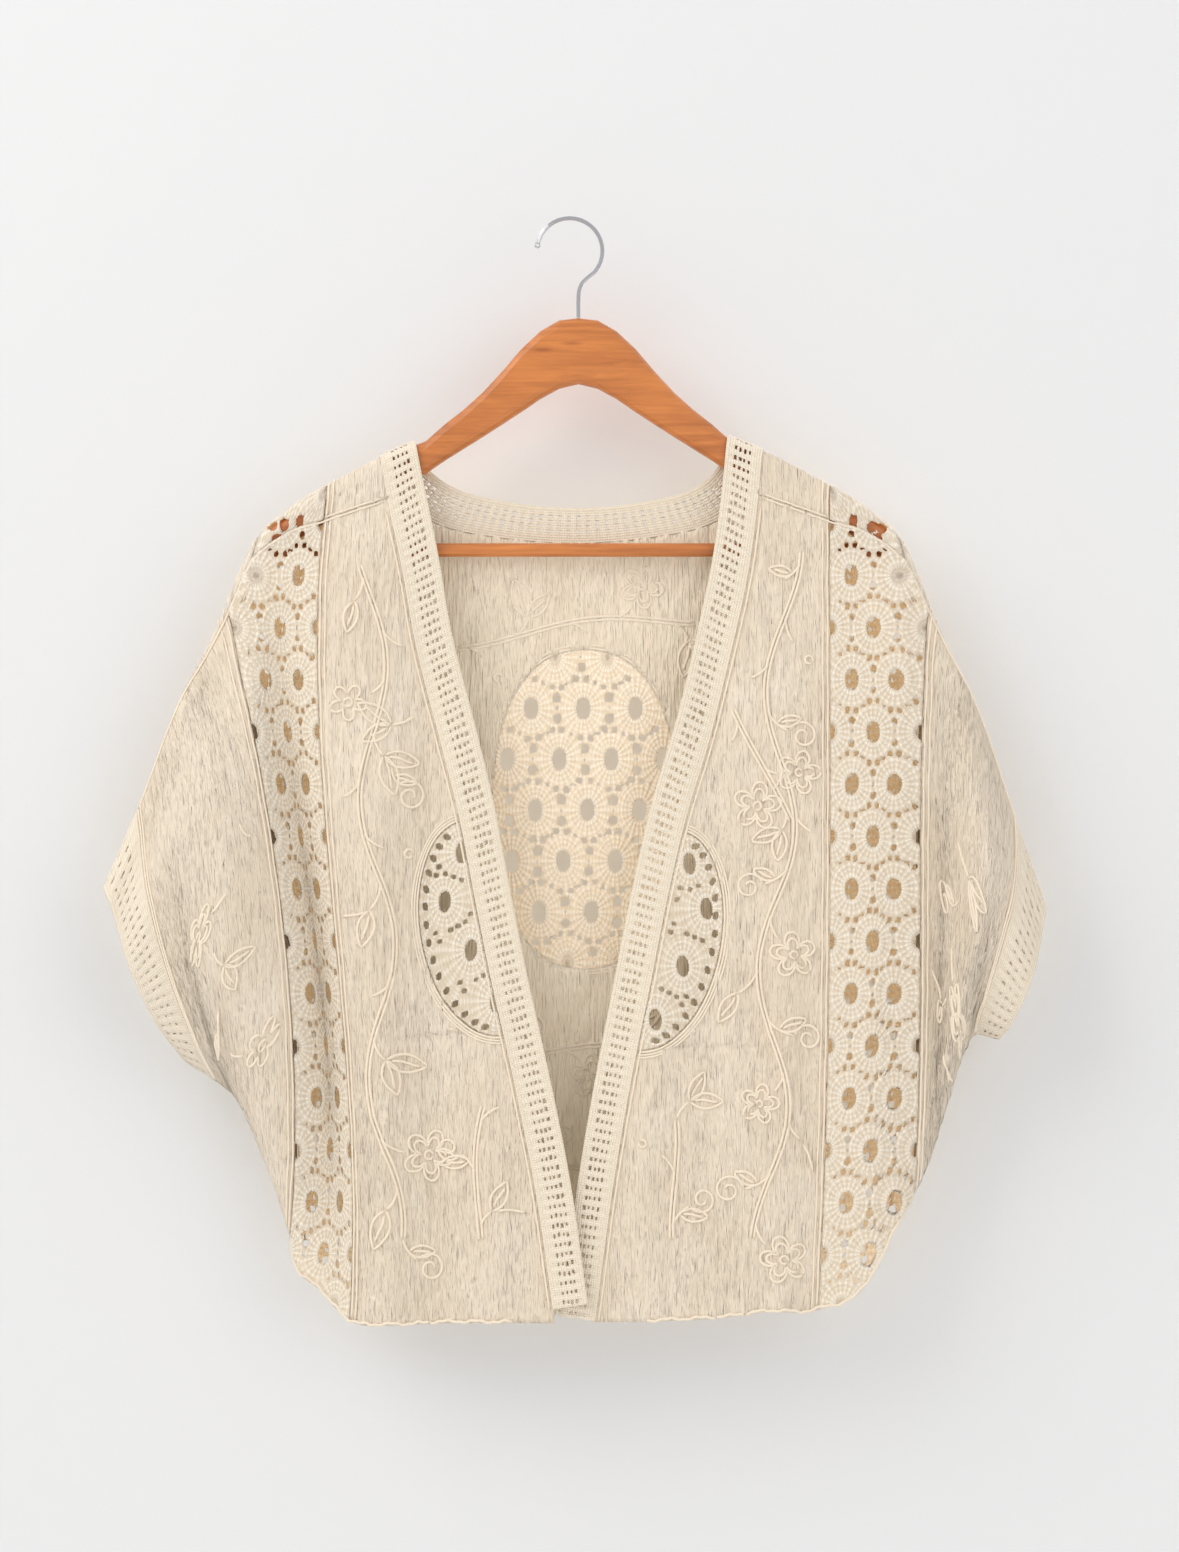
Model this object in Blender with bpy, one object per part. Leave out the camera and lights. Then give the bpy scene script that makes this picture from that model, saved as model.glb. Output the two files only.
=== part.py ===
"""Open cardigan of crinkled gauze with crochet insets, hung flat on a wooden hanger.

The cloth is laid out as a maker cuts it, on a flat chart, and then hung.
On the chart `across` runs from the middle of the back towards either cuff, and
`along` runs from the top fold: above zero down the front, below zero down the back.
SECTIONS, DEPTHS and FOLDS hang each point of that chart on the hanger.

Metres, +Z up, +Y towards the wall. The origin is the inside crown of the hook.
"""
import math

import bpy
import numpy as np
from mathutils import Vector
from mathutils.geometry import delaunay_2d_cdt

# Cloth walls and the gap between two pieces that meet at a seam
GAUZE_WALL = 0.0010
CROCHET_WALL = 0.0020
SEAM_GAP = 0.0003

# Hanger: flat arms, a round cross bar and a wire hook
CENTRE_X = 0.006
ARM_THICK = 0.012
ARM_REACH = 0.2215
OVER_WOOD_GAP = 0.0011
BAR_DIAMETER = 0.0095
BAR_Z = -0.2241
WIRE_DIAMETER = 0.0028
HOOK_RADIUS = 0.0223
HOOK_TIP_BALL = 0.0044

# Widths of the made-up pieces
BODY_HALF = 0.170
STRIP_WIDTH = 0.056
SLEEVE_WIDTH = 0.110
CUFF_WIDTH = 0.030
BAND_WIDTH = 0.0245
STRIP_EDGE = BODY_HALF + STRIP_WIDTH
CUFF_SEAM = STRIP_EDGE + SLEEVE_WIDTH
CUFF_EDGE = CUFF_SEAM + CUFF_WIDTH

# Crochet: ladder ribs on the bands and cuffs, wheels in the lace
RIB_PITCH = 0.0065
RIB_RISE = 0.0009
WHEEL_HOLE = (0.0086, 0.0145)
WHEEL_RISE = 0.0009
WHEEL_PITCH_ACROSS = 0.0275
WHEEL_PITCH_DOWN = 0.0353
STRIP_FIRST_ROW_Z = -0.242
STRIP_ROWS = 14
STRIP_GAP = (0.0042, 0.0060)
OVAL_GAP = (0.0060, 0.0072)
GAP_OFFSET = 0.0072

# Each row is one line down the cloth. Top and foot are its ends in the front view,
# upper and lower its sideways place at one third and two thirds of its height.
SECTION_COLUMNS = ("across", "top_x", "top_z", "upper_x", "lower_x", "foot_x", "foot_z")
SECTIONS = (
    (-0.366, -0.3210, -0.4540, -0.3065, -0.2910, -0.2660, -0.5710),
    (-0.336, -0.2980, -0.4000, -0.2880, -0.2710, -0.2450, -0.5850),
    (-0.281, -0.2710, -0.3280, -0.2540, -0.2450, -0.2235, -0.6115),
    (-0.226, -0.2380, -0.2620, -0.2090, -0.1930, -0.1950, -0.6920),
    (-0.212, -0.2190, -0.2195, -0.2020, -0.1800, -0.1890, -0.7140),
    (-0.198, -0.2000, -0.2005, -0.1940, -0.1720, -0.1757, -0.7250),
    (-0.170, -0.1700, -0.1810, -0.1730, -0.1570, -0.1545, -0.7455),
    (-0.135, -0.1350, -0.1620, -0.1350, -0.1290, -0.1240, -0.7480),
    (-0.101, -0.1010, -0.1475, -0.1010, -0.0990, -0.0950, -0.7470),
    (-0.060, -0.0600, -0.1370, -0.0600, -0.0600, -0.0580, -0.7460),
    (0.000, 0.0000, -0.1320, 0.0000, 0.0000, 0.0000, -0.7460),
    (0.060, 0.0600, -0.1370, 0.0600, 0.0600, 0.0600, -0.7450),
    (0.101, 0.1010, -0.1475, 0.1010, 0.1000, 0.0990, -0.7430),
    (0.135, 0.1350, -0.1620, 0.1350, 0.1330, 0.1300, -0.7390),
    (0.170, 0.1700, -0.1810, 0.1700, 0.1685, 0.1620, -0.7380),
    (0.198, 0.2000, -0.2005, 0.1990, 0.1980, 0.1950, -0.7200),
    (0.212, 0.2190, -0.2195, 0.2135, 0.2130, 0.2140, -0.6840),
    (0.226, 0.2370, -0.2610, 0.2310, 0.2305, 0.2270, -0.6620),
    (0.281, 0.2690, -0.3300, 0.2660, 0.2560, 0.2480, -0.6060),
    (0.336, 0.2960, -0.4090, 0.2930, 0.2810, 0.2690, -0.5530),
    (0.366, 0.3165, -0.4670, 0.3100, 0.3010, 0.2860, -0.5560),
)

# How far each line stands off the hanger's plane, beyond the fold over its top
DEPTH_COLUMNS = ("across", "front_upper", "front_lower", "front_foot",
                 "back_upper", "back_lower", "back_foot")
DEPTHS = (
    (-0.366, 0.014, 0.012, 0.000, 0.010, 0.009, 0.000),
    (-0.336, 0.018, 0.016, 0.000, 0.012, 0.011, 0.000),
    (-0.281, 0.030, 0.026, 0.000, 0.016, 0.014, 0.000),
    (-0.226, 0.018, 0.017, 0.000, 0.010, 0.009, 0.000),
    (-0.198, -0.002, -0.003, 0.000, 0.008, 0.008, 0.003),
    (-0.170, 0.011, 0.012, 0.007, 0.006, 0.008, 0.006),
    (-0.101, 0.006, 0.009, 0.010, 0.005, 0.008, 0.009),
    (0.000, 0.005, 0.009, 0.012, 0.005, 0.008, 0.010),
    (0.101, 0.006, 0.009, 0.010, 0.005, 0.008, 0.009),
    (0.170, 0.008, 0.010, 0.007, 0.006, 0.008, 0.006),
    (0.198, 0.008, 0.010, 0.004, 0.008, 0.008, 0.003),
    (0.226, 0.006, 0.006, 0.000, 0.010, 0.008, 0.000),
    (0.246, 0.000, 0.001, 0.000, 0.011, 0.009, 0.000),
    (0.281, 0.016, 0.014, 0.000, 0.014, 0.012, 0.000),
    (0.336, 0.018, 0.016, 0.000, 0.012, 0.010, 0.000),
    (0.366, 0.014, 0.012, 0.000, 0.010, 0.009, 0.000),
)

# The largest folds. Face is 1 on the front and -1 on the back; start and end are
# fractions of the line's height, and lean is how far the fold drifts across by its end.
FOLD_COLUMNS = ("face", "across", "start", "end", "half_width", "rise", "lean")
FOLDS = (
    (1, -0.140, 0.30, 1.10, 0.011, 0.0030, 0.004),
    (1, -0.105, 0.15, 1.10, 0.013, -0.0028, 0.008),
    (1, -0.062, 0.55, 1.10, 0.014, 0.0036, 0.012),
    (1, 0.048, 0.50, 1.10, 0.013, 0.0030, -0.004),
    (1, 0.092, 0.12, 0.95, 0.014, -0.0026, -0.008),
    (1, 0.138, 0.35, 1.10, 0.012, 0.0034, 0.006),
    (1, -0.262, 0.10, 0.80, 0.016, 0.0050, -0.010),
    (1, -0.305, 0.25, 0.95, 0.014, -0.0040, 0.008),
    (1, 0.300, 0.15, 0.90, 0.015, 0.0045, -0.006),
    (-1, -0.120, 0.20, 1.10, 0.016, 0.0040, 0.006),
    (-1, -0.072, 0.55, 1.10, 0.014, -0.0030, -0.004),
    (-1, 0.030, 0.70, 1.10, 0.018, 0.0036, 0.006),
    (-1, 0.098, 0.25, 1.10, 0.016, 0.0038, -0.010),
    (-1, 0.145, 0.45, 1.05, 0.012, -0.0030, 0.004),
    (-1, 0.285, 0.15, 0.90, 0.016, 0.0050, 0.010),
    (-1, -0.290, 0.15, 0.90, 0.016, 0.0050, -0.010),
)
FOLD_FADE = 0.18

# Free edges of the two fronts in the front view, from the shoulder to the hem
EDGE_COLUMNS = ("z", "left_x", "right_x")
FRONT_EDGES = (
    (-0.1500, -0.1110, 0.1010),
    (-0.2309, -0.0942, 0.0906),
    (-0.2791, -0.0860, 0.0805),
    (-0.3382, -0.0710, 0.0665),
    (-0.3939, -0.0575, 0.0500),
    (-0.4476, -0.0473, 0.0376),
    (-0.5190, -0.0330, 0.0235),
    (-0.5577, -0.0242, 0.0159),
    (-0.6514, -0.0052, -0.0004),
    (-0.7330, 0.0064, -0.0110),
)
BAND_TOP_Z = -0.175
BAND_FOOT_Z = (-0.7330, -0.7420)
BAND_STATIONS = 26
BAND_FOLD = 0.0115

# Upper edge of the neck band, from the left shoulder to the right one
NECK_COLUMNS = ("x", "z")
NECK_EDGE = (
    (-0.0962, -0.1740),
    (-0.0780, -0.1840),
    (-0.0534, -0.1900),
    (0.0010, -0.1948),
    (0.0485, -0.1900),
    (0.0740, -0.1835),
    (0.0900, -0.1735),
)

# Distance from the top fold down to the shoulder seam, which lies on the front
SHOULDER_COLUMNS = ("across", "drop")
SHOULDER_SEAM = (
    (0.100, 0.037),
    (0.140, 0.033),
    (0.170, 0.027),
    (0.198, 0.018),
    (0.226, 0.009),
    (0.281, 0.006),
    (0.366, 0.006),
)

# Oval of lace in the back, and the half ovals beside the front bands
OVAL_CENTRE = (0.0047, -0.4007)
OVAL_HALF = (0.0640, 0.1090)
OVAL_SQUARENESS = 2.3
OVAL_FIRST_ROW_Z = -0.3315
OVAL_ROWS = 5
OVAL_PITCH = (0.0357, 0.0348)
OVAL_LEAN = 0.0014
OVAL_MARGIN = 0.0070
WHEEL_MARGIN = 0.003
HALF_OVAL_MARGIN = 0.001
OVAL_SIDES = 32
HALF_OVAL_SIDES = 16
HALF_OVAL_BULGE = 0.041
HALF_OVALS = {
    "left": {"top_z": -0.4082, "foot_z": -0.5495,
             "wheels": ((-0.0785, -0.4292), (-0.0900, -0.4625), (-0.0724, -0.4951),
                        (-0.0555, -0.5297))},
    "right": {"top_z": -0.4150, "foot_z": -0.5600,
              "wheels": ((0.0750, -0.4367), (0.0866, -0.4673), (0.0703, -0.5060),
                         (0.0519, -0.5420))},
}

# Upper and lower edge of the hanger's arm, by distance from its middle
ARM_COLUMNS = ("out", "upper_z", "lower_z")
ARM_EDGES = (
    (0.0000, -0.0664, -0.1115),
    (0.0140, -0.0683, -0.1150),
    (0.0280, -0.0770, -0.1230),
    (0.0417, -0.0905, -0.1325),
    (0.0534, -0.1045, -0.1400),
    (0.0738, -0.1252, -0.1530),
    (0.0900, -0.1378, -0.1630),
)
ARM_DEPTH = 0.0225
ARM_END_ROUND = 0.014
ARM_SECTIONS = 17
ROUNDED_TO = 0.985
RIDGE_STEP = 0.010
BODY_NECK = 0.101
BAR_SIDES = 10
BAR_STATIONS = 60
WIRE_SIDES = 7
HOOK_SWEEP = (170, -40)
HOOK_STEP = 10
STEM_LENGTH = 0.012
WIRE_STEP = 0.003
BALL_ANGLES = (60, 20, -20, -50)
HOOK_BEND = ((0.0118, -0.0395), (0.0082, -0.0432), (0.0065, -0.0475))

# Rolled edges: fold over the top, and the closed seam under each arm
SLEEVE_NOSE = 0.0090
NOSE_WIDENS_OVER = 0.05
CLOSES_OVER = 0.016
UNDERARM_CLOSING = 0.016
CLEAR_OF_ARM_BY = 0.070
SEAM_HALF_DEPTH = 0.00015

# Front overlap at the hem: the left front lies over the right one
LAP = {"left": 0.0052, "right": -0.0010}
LAP_HALF_WIDTH = 0.055
LAP_START = 0.58
LAP_FULL = 0.80

# Spacing of the chart's points
ROW_STEP = 0.030
ACROSS_STEP = 0.014
LINE_STEP = 0.004
INNER_ROW_STEP = 0.060
NEAR_UNDERARM = 0.026
ROWS_ABOVE_FOOT = (0.012, 0.026, 0.042)
CUFF_ROW_STEP = 0.015
TOP_ZONE = 0.045
BELOW_FOLD = 0.012
COLUMN_STEP = 0.0115
FOLD_ASPECT = 3.0
SQUARE_BY = 0.045
RUNGS_PER_STEP = 4
RUNG_BEND = 0.004
FOLD_STEPS = 4
HOLE_SIDES = 8
GAP_SIDES = 4
CLEAR_OF_EDGES = 0.005
CLEAR_ON_FOLD = 0.0018
LEAST_MITRE = 0.15
MOST_DRAWN_IN = 5
LEAST_SINE = 0.30
LEAST_FOOT_SINE = 0.35
NEAR_END = 0.003
NEAR_SEAM = 0.002
THINNED_STEP = 0.011
THINNED_END = 0.006

COLOURS = {
    "gauze": ((0.83, 0.76, 0.62, 1.0), 0.90, 0.0),
    "crochet": ((0.80, 0.73, 0.59, 1.0), 0.92, 0.0),
    "wood": ((0.60, 0.20, 0.06, 1.0), 0.40, 0.0),
    "chrome": ((0.78, 0.78, 0.80, 1.0), 0.15, 1.0),
}


def clear_scene():
    """Take away every object that the scene starts with."""
    for thing in list(bpy.data.objects):
        bpy.data.objects.remove(thing, do_unlink=True)


def finish(name):
    """One Principled material for one kind of stuff, shared by its pieces."""
    made = bpy.data.materials.get(name)
    if made:
        return made
    colour, roughness, metallic = COLOURS[name]
    made = bpy.data.materials.new(name)
    made.use_nodes = True
    shader = made.node_tree.nodes["Principled BSDF"]
    shader.inputs["Base Color"].default_value = colour
    shader.inputs["Roughness"].default_value = roughness
    shader.inputs["Metallic"].default_value = metallic
    return made


def smooth_curve(stations, values, at):
    """Cubic curve through the stations, with each slope the mean of its two chords."""
    stations = np.asarray(stations, float)
    values = np.asarray(values, float)
    gaps = np.diff(stations)
    chords = np.diff(values) / gaps
    slopes = np.empty_like(values)
    slopes[0] = chords[0]
    slopes[-1] = chords[-1]
    slopes[1:-1] = (chords[:-1] * gaps[1:] + chords[1:] * gaps[:-1]) / (gaps[:-1] + gaps[1:])
    at = np.asarray(at, float)
    k = np.clip(np.searchsorted(stations, at) - 1, 0, len(gaps) - 1)
    u = (at - stations[k]) / gaps[k]
    rise = 3 * u ** 2 - 2 * u ** 3
    lead = (u - 2 * u ** 2 + u ** 3) * gaps[k]
    trail = (u ** 3 - u ** 2) * gaps[k]
    return (1 - rise) * values[k] + rise * values[k + 1] + lead * slopes[k] + trail * slopes[k + 1]


def read(columns, table, name, at):
    """One named column of a table, as a smooth curve over the table's first column."""
    rows = np.array(table, float)
    return smooth_curve(rows[:, 0], rows[:, columns.index(name)], at)


def ease(u):
    """Zero below 0, one above 1, and a smooth rise between."""
    u = np.clip(u, 0, 1)
    return u * u * (3 - 2 * u)


def section(name, across):
    """A column of SECTIONS at any place across."""
    return read(SECTION_COLUMNS, SECTIONS, name, across)


def section_x(across, v):
    """Sideways place at a fraction v down a line: the cubic through its four stations."""
    return ((1 - v) * (1 - 3 * v) * (2 - 3 * v) / 2 * section("top_x", across)
            + 4.5 * v * (1 - v) * (2 - 3 * v) * section("upper_x", across)
            + 4.5 * v * (1 - v) * (3 * v - 1) * section("lower_x", across)
            + v * (3 * v - 1) * (3 * v - 2) / 2 * section("foot_x", across))


def section_z(across, v):
    """Height at a fraction v down a line, which runs evenly."""
    top = section("top_z", across)
    return top + v * (section("foot_z", across) - top)


def rim_sine(across, v, rim, least):
    """Sine of the angle between a line and the outline that it starts from or ends at."""
    step = 1e-4
    run_x = section(rim + "_x", across + step) - section(rim + "_x", across - step)
    run_z = section(rim + "_z", across + step) - section(rim + "_z", across - step)
    down_x = section_x(across, v + step) - section_x(across, v - step)
    down_z = section_z(across, v + step) - section_z(across, v - step)
    turn = np.abs(run_x * down_z - run_z * down_x)
    return np.clip(turn / np.hypot(run_x, run_z) / np.hypot(down_x, down_z), least, 1)


def line_sizes(across):
    """Sizes of the lines at these places across.

    The fold over the top is a quarter ellipse, `nose` deep and `nose_long` down the line.
    Where `closed` is 1, front and back draw together over the last `closing` of the line,
    down to the underarm seam.
    """
    out = np.abs(across)
    wood_nose = ARM_THICK / 2 + OVER_WOOD_GAP
    nose = wood_nose + (SLEEVE_NOSE - wood_nose) * ease((out - STRIP_EDGE) / NOSE_WIDENS_OVER)
    nose_long = nose / rim_sine(across, 1e-3, "top", LEAST_SINE)
    closed = ease((out - STRIP_EDGE + CLOSES_OVER) / CLOSES_OVER)
    closing = UNDERARM_CLOSING / rim_sine(across, 1 - 1e-3, "foot", LEAST_FOOT_SINE)
    run_x = section("foot_x", across) - section("top_x", across)
    run_z = section("foot_z", across) - section("top_z", across)
    length = np.hypot(run_x, run_z)
    nose_arc = math.pi / 2 * np.sqrt((nose ** 2 + nose_long ** 2) / 2)
    return {"nose": nose, "nose_long": nose_long, "nose_arc": nose_arc, "closed": closed,
            "closing": closing, "length": length, "cloth_length": length + nose_arc - nose_long}


def fold_rise(face, across, v):
    """Sum of the folds on one face: a bell across the fold, eased in and out along it."""
    total = np.zeros(np.shape(across))
    for row in FOLDS:
        fold = dict(zip(FOLD_COLUMNS, row))
        middle = fold["across"] + fold["lean"] * (v - fold["start"])
        bell = np.exp(-((across - middle) / fold["half_width"]) ** 2)
        window = (ease((v - fold["start"]) / FOLD_FADE)
                  * ease((fold["end"] - v) / FOLD_FADE))
        total = total + np.where(face == fold["face"], fold["rise"] * bell * window, 0)
    return total


def stand_off(face, across, v):
    """Extra depth of a face: the cubic through 0 at the top and the three depths below."""
    thirds = {"upper": 4.5 * v * (1 - v) * (2 - 3 * v),
              "lower": 4.5 * v * (1 - v) * (3 * v - 1),
              "foot": v * (3 * v - 1) * (3 * v - 2) / 2}
    total = 0
    for place, weight in thirds.items():
        front = read(DEPTH_COLUMNS, DEPTHS, "front_" + place, across)
        back = read(DEPTH_COLUMNS, DEPTHS, "back_" + place, across)
        total = total + weight * np.where(face > 0, front, back)
    return total + fold_rise(face, across, v)


def hang(across, along, lap=None):
    """Where a point of the chart hangs: the inner face of the cloth, in metres."""
    across = np.asarray(across, float)
    along = np.asarray(along, float)
    size = line_sizes(across)
    face = np.where(along < 0, -1, 1)
    down = np.abs(along)
    top_angle = np.clip(down / size["nose_arc"], 0, 1) * math.pi / 2
    from_top = np.where(down < size["nose_arc"], size["nose_long"] * (1 - np.cos(top_angle)),
                        down - size["nose_arc"] + size["nose_long"])
    v = from_top / size["length"]
    left = np.clip((size["cloth_length"] - down) / size["closing"], 0, 1)
    shut = 1 - size["closed"] * (1 - left) ** 2
    clear_of_arm = ease(from_top / CLEAR_OF_ARM_BY)
    depth = (size["nose"] * np.sin(top_angle) + stand_off(face, across, v) * clear_of_arm) * shut
    depth = depth + SEAM_HALF_DEPTH * np.sin(top_angle)
    if lap:
        bell = np.exp(-(across / LAP_HALF_WIDTH) ** 2)
        depth = depth + LAP[lap] * bell * ease((v - LAP_START) / (LAP_FULL - LAP_START))
    return np.stack([CENTRE_X + section_x(across, v), -face * depth, section_z(across, v)], -1)


def hang_with_normals(chart, lap=None):
    """Points of the inner face and the directions that point out of the garment there."""
    across = chart[:, 0]
    along = chart[:, 1]
    step = 2e-4
    run = hang(across + step, along, lap) - hang(across - step, along, lap)
    rise = hang(across, along + step, lap) - hang(across, along - step, lap)
    out = np.cross(rise, run)
    out /= np.linalg.norm(out, axis=1, keepdims=True)
    return hang(across, along, lap), out


def along_at(across, z, face):
    """Distance along the cloth at which a line reaches a height, below the top fold."""
    size = line_sizes(np.asarray(across, float))
    top = section("top_z", across)
    v = (z - top) / (section("foot_z", across) - top)
    return face * (v * size["length"] + size["nose_arc"] - size["nose_long"])


def lay(x, z, face):
    """Chart point that hangs at a place in the front view, x from the hanger's middle."""
    across = np.asarray(x, float)
    for _ in range(12):
        top = section("top_z", across)
        v = (z - top) / (section("foot_z", across) - top)
        across = across + x - section_x(across, v)
    return np.stack([across, along_at(across, z, face)], -1)


def foot(across, face):
    """Chart distance of the hem, or of the underarm seam, at these places across."""
    return face * line_sizes(np.asarray(across, float))["cloth_length"]


def shoulder(across):
    """Chart distance of the shoulder seam at these places across."""
    return read(SHOULDER_COLUMNS, SHOULDER_SEAM, "drop", np.abs(across))


def row_stations(across, step=ROW_STEP):
    """Distances along one line, from the back's foot to the front's, close at its rolls."""
    size = line_sizes(np.array([across]))
    size = {name: float(value[0]) for name, value in size.items()}
    steps = np.arange(FOLD_STEPS + 1) / FOLD_STEPS
    top = size["nose_arc"] * steps
    last = size["cloth_length"] - size["closed"] * size["closing"]
    start = top[-1] + BELOW_FOLD
    count = max(2, round((last - start) / step))
    middle = np.linspace(start, last, count + 1)
    below = []
    if size["closed"] > 0.5:
        below = size["cloth_length"] - size["closing"] * np.array([0.5, 0])
    half = np.concatenate([top, middle, below])
    return np.concatenate([-half[:0:-1], half])


def down_line(across, start, end, step=ROW_STEP):
    """Chart points down one line, from one distance along to another, ends included."""
    rows = row_stations(across, step)
    low, high = min(start, end), max(start, end)
    inside = [row for row in rows if low + NEAR_END < row < high - NEAR_END]
    rows = np.array([low] + inside + [high])
    if start > end:
        rows = rows[::-1]
    return np.stack([np.full(len(rows), across), rows], -1)


def across_line(start, end, height):
    """Chart points from one place across to another, at a height that is a function."""
    count = max(1, math.ceil(abs(end - start) / ACROSS_STEP))
    places = np.linspace(start, end, count + 1)
    return np.stack([places, height(places)], -1)


def parallel(line, distance):
    """The line moved sideways by a distance, to its left as it runs."""
    run = np.gradient(line, axis=0)
    run /= np.linalg.norm(run, axis=1, keepdims=True)
    return line + distance * np.stack([-run[:, 1], run[:, 0]], -1)


def spaced(line, step):
    """The same line with its points an even step apart."""
    length = np.concatenate([[0], np.cumsum(np.linalg.norm(np.diff(line, axis=0), axis=1))])
    count = max(1, round(length[-1] / step))
    at = np.linspace(0, length[-1], count + 1)
    return np.stack([smooth_curve(length, line[:, 0], at), smooth_curve(length, line[:, 1], at)], -1)


def curve_through(points, step):
    """Smooth curve through a few chart points, with points an even step apart."""
    points = np.asarray(points, float)
    for _ in range(2):
        points = spaced(points, step)
    return points


def edge_x(side, z):
    """Sideways place of a front's free edge at a height."""
    rows = np.array(FRONT_EDGES)[::-1]
    return smooth_curve(rows[:, 0], rows[:, EDGE_COLUMNS.index(side + "_x")], z)


def rung_places(length, fine):
    """Stations of the ribs' crests and troughs along a band, closer over the hanger."""
    count = round((length - fine) / (RIB_PITCH / 2))
    return np.concatenate([fine * np.arange(FOLD_STEPS) / FOLD_STEPS,
                           np.linspace(fine, length, count + 1)])


def at_places(line, places):
    """Points of a line at given distances along it."""
    length = np.concatenate([[0], np.cumsum(np.linalg.norm(np.diff(line, axis=0), axis=1))])
    return np.stack([np.interp(places, length, line[:, 0]),
                     np.interp(places, length, line[:, 1])], -1)


def line_length(line):
    """Length of a chart line."""
    return float(np.linalg.norm(np.diff(line, axis=0), axis=1).sum())


def front_band_edges(side):
    """Free edge and seam edge of a front band, from the top fold to the hem."""
    sign = -1 if side == "left" else 1
    foot_z = BAND_FOOT_Z[0] if side == "left" else BAND_FOOT_Z[1]
    z = np.linspace(BAND_TOP_Z, foot_z, BAND_STATIONS)
    below = lay(edge_x(side, z), z, 1)
    top = np.array([[edge_x(side, np.array(FRONT_EDGES[0][0])), 0.0]])
    free = curve_through(np.concatenate([top, below]), LINE_STEP)
    free = at_places(free, rung_places(line_length(free), BAND_FOLD))
    return free, band_seam(free, -sign * BAND_WIDTH)


def band_seam(free, width):
    """The other edge of a band: square to it, but level where it crosses the top fold."""
    seam = parallel(free, width)
    square = ease(np.abs(free[:, 1]) / SQUARE_BY)
    seam[:, 1] = free[:, 1] + (seam[:, 1] - free[:, 1]) * square
    return seam


def neck_band_edges():
    """Upper edge and seam edge of the neck band, from the left shoulder to the right."""
    rows = np.array(NECK_EDGE)
    below = lay(rows[:, 0], rows[:, 1], -1)
    left_free, left_seam = front_band_edges("left")
    right_free, right_seam = front_band_edges("right")
    lead = np.array([[0.0010, -0.0100]])
    points = np.concatenate([left_free[:1], left_free[:1] + lead, below,
                             right_free[:1] + lead * (-1, 1), right_free[:1]])
    free = curve_through(points, LINE_STEP)
    half = rung_places(line_length(free) / 2, BAND_FOLD)
    whole = np.concatenate([half, line_length(free) - half[-2::-1]])
    free = at_places(free, whole)
    seam = band_seam(free, -BAND_WIDTH)
    seam[0] = left_seam[0]
    seam[-1] = right_seam[0]
    return free, seam


def seam_below_shoulder(side):
    """Front band's seam edge from the shoulder seam down, and the part above it."""
    seam = front_band_edges(side)[1]
    drop = seam[:, 1] - shoulder(seam[:, 0])
    first = int(np.argmax(drop > 0))
    share = -drop[first - 1] / (drop[first] - drop[first - 1])
    crossing = seam[first - 1] + share * (seam[first] - seam[first - 1])
    below = seam[first:]
    if np.linalg.norm(below[0] - crossing) < NEAR_SEAM:
        below = below[1:]
    above = seam[:first]
    if np.linalg.norm(above[-1] - crossing) < NEAR_SEAM:
        above = above[:-1]
    return np.vstack([crossing, below]), np.vstack([above, crossing])


def half_oval(side):
    """Curved edge of a front's lace, and the stretch of the band's seam beside it."""
    sign = -1 if side == "left" else 1
    seam = seam_below_shoulder(side)[0]
    sizes = HALF_OVALS[side]
    z = hang(seam[:, 0], seam[:, 1])[:, 2]
    first = int(np.argmax(z < sizes["top_z"]))
    last = int(np.argmax(z < sizes["foot_z"]))
    base = seam[first:last + 1]
    out = np.array([base[-1, 1] - base[0, 1], base[0, 0] - base[-1, 0]])
    out *= sign / np.linalg.norm(out)
    middle = (base[0] + base[-1]) / 2
    half = (base[-1] - base[0]) / 2
    turn = np.linspace(0, math.pi, HALF_OVAL_SIDES + 1)[1:-1, None]
    curve = middle - half * np.cos(turn) + out * HALF_OVAL_BULGE * np.sin(turn)
    return curve, base, first, last


def back_oval():
    """Edge of the lace oval in the back, a squared ellipse."""
    turn = np.linspace(0, 2 * math.pi, OVAL_SIDES + 1)[:-1]
    power = 2 / OVAL_SQUARENESS
    x = OVAL_CENTRE[0] + OVAL_HALF[0] * np.sign(np.cos(turn)) * np.abs(np.cos(turn)) ** power
    z = OVAL_CENTRE[1] + OVAL_HALF[1] * np.sign(np.sin(turn)) * np.abs(np.sin(turn)) ** power
    return lay(x, z, -1)


def inset(loop, distance):
    """A closed outline drawn in by a distance, each corner along its bisector."""
    area = np.sum(loop[:, 0] * np.roll(loop[:, 1], -1) - np.roll(loop[:, 0], -1) * loop[:, 1])
    ahead = np.roll(loop, -1, axis=0) - loop
    ahead /= np.linalg.norm(ahead, axis=1, keepdims=True)
    behind = np.roll(ahead, 1, axis=0)
    inward = np.sign(area) * np.stack([-ahead[:, 1], ahead[:, 0]], -1)
    before = np.roll(inward, 1, axis=0)
    bisector = inward + before
    bisector /= np.linalg.norm(bisector, axis=1, keepdims=True)
    half_cosine = np.sum(bisector * inward, axis=1, keepdims=True)
    return loop + bisector * distance / np.clip(half_cosine, LEAST_MITRE, 1)


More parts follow.
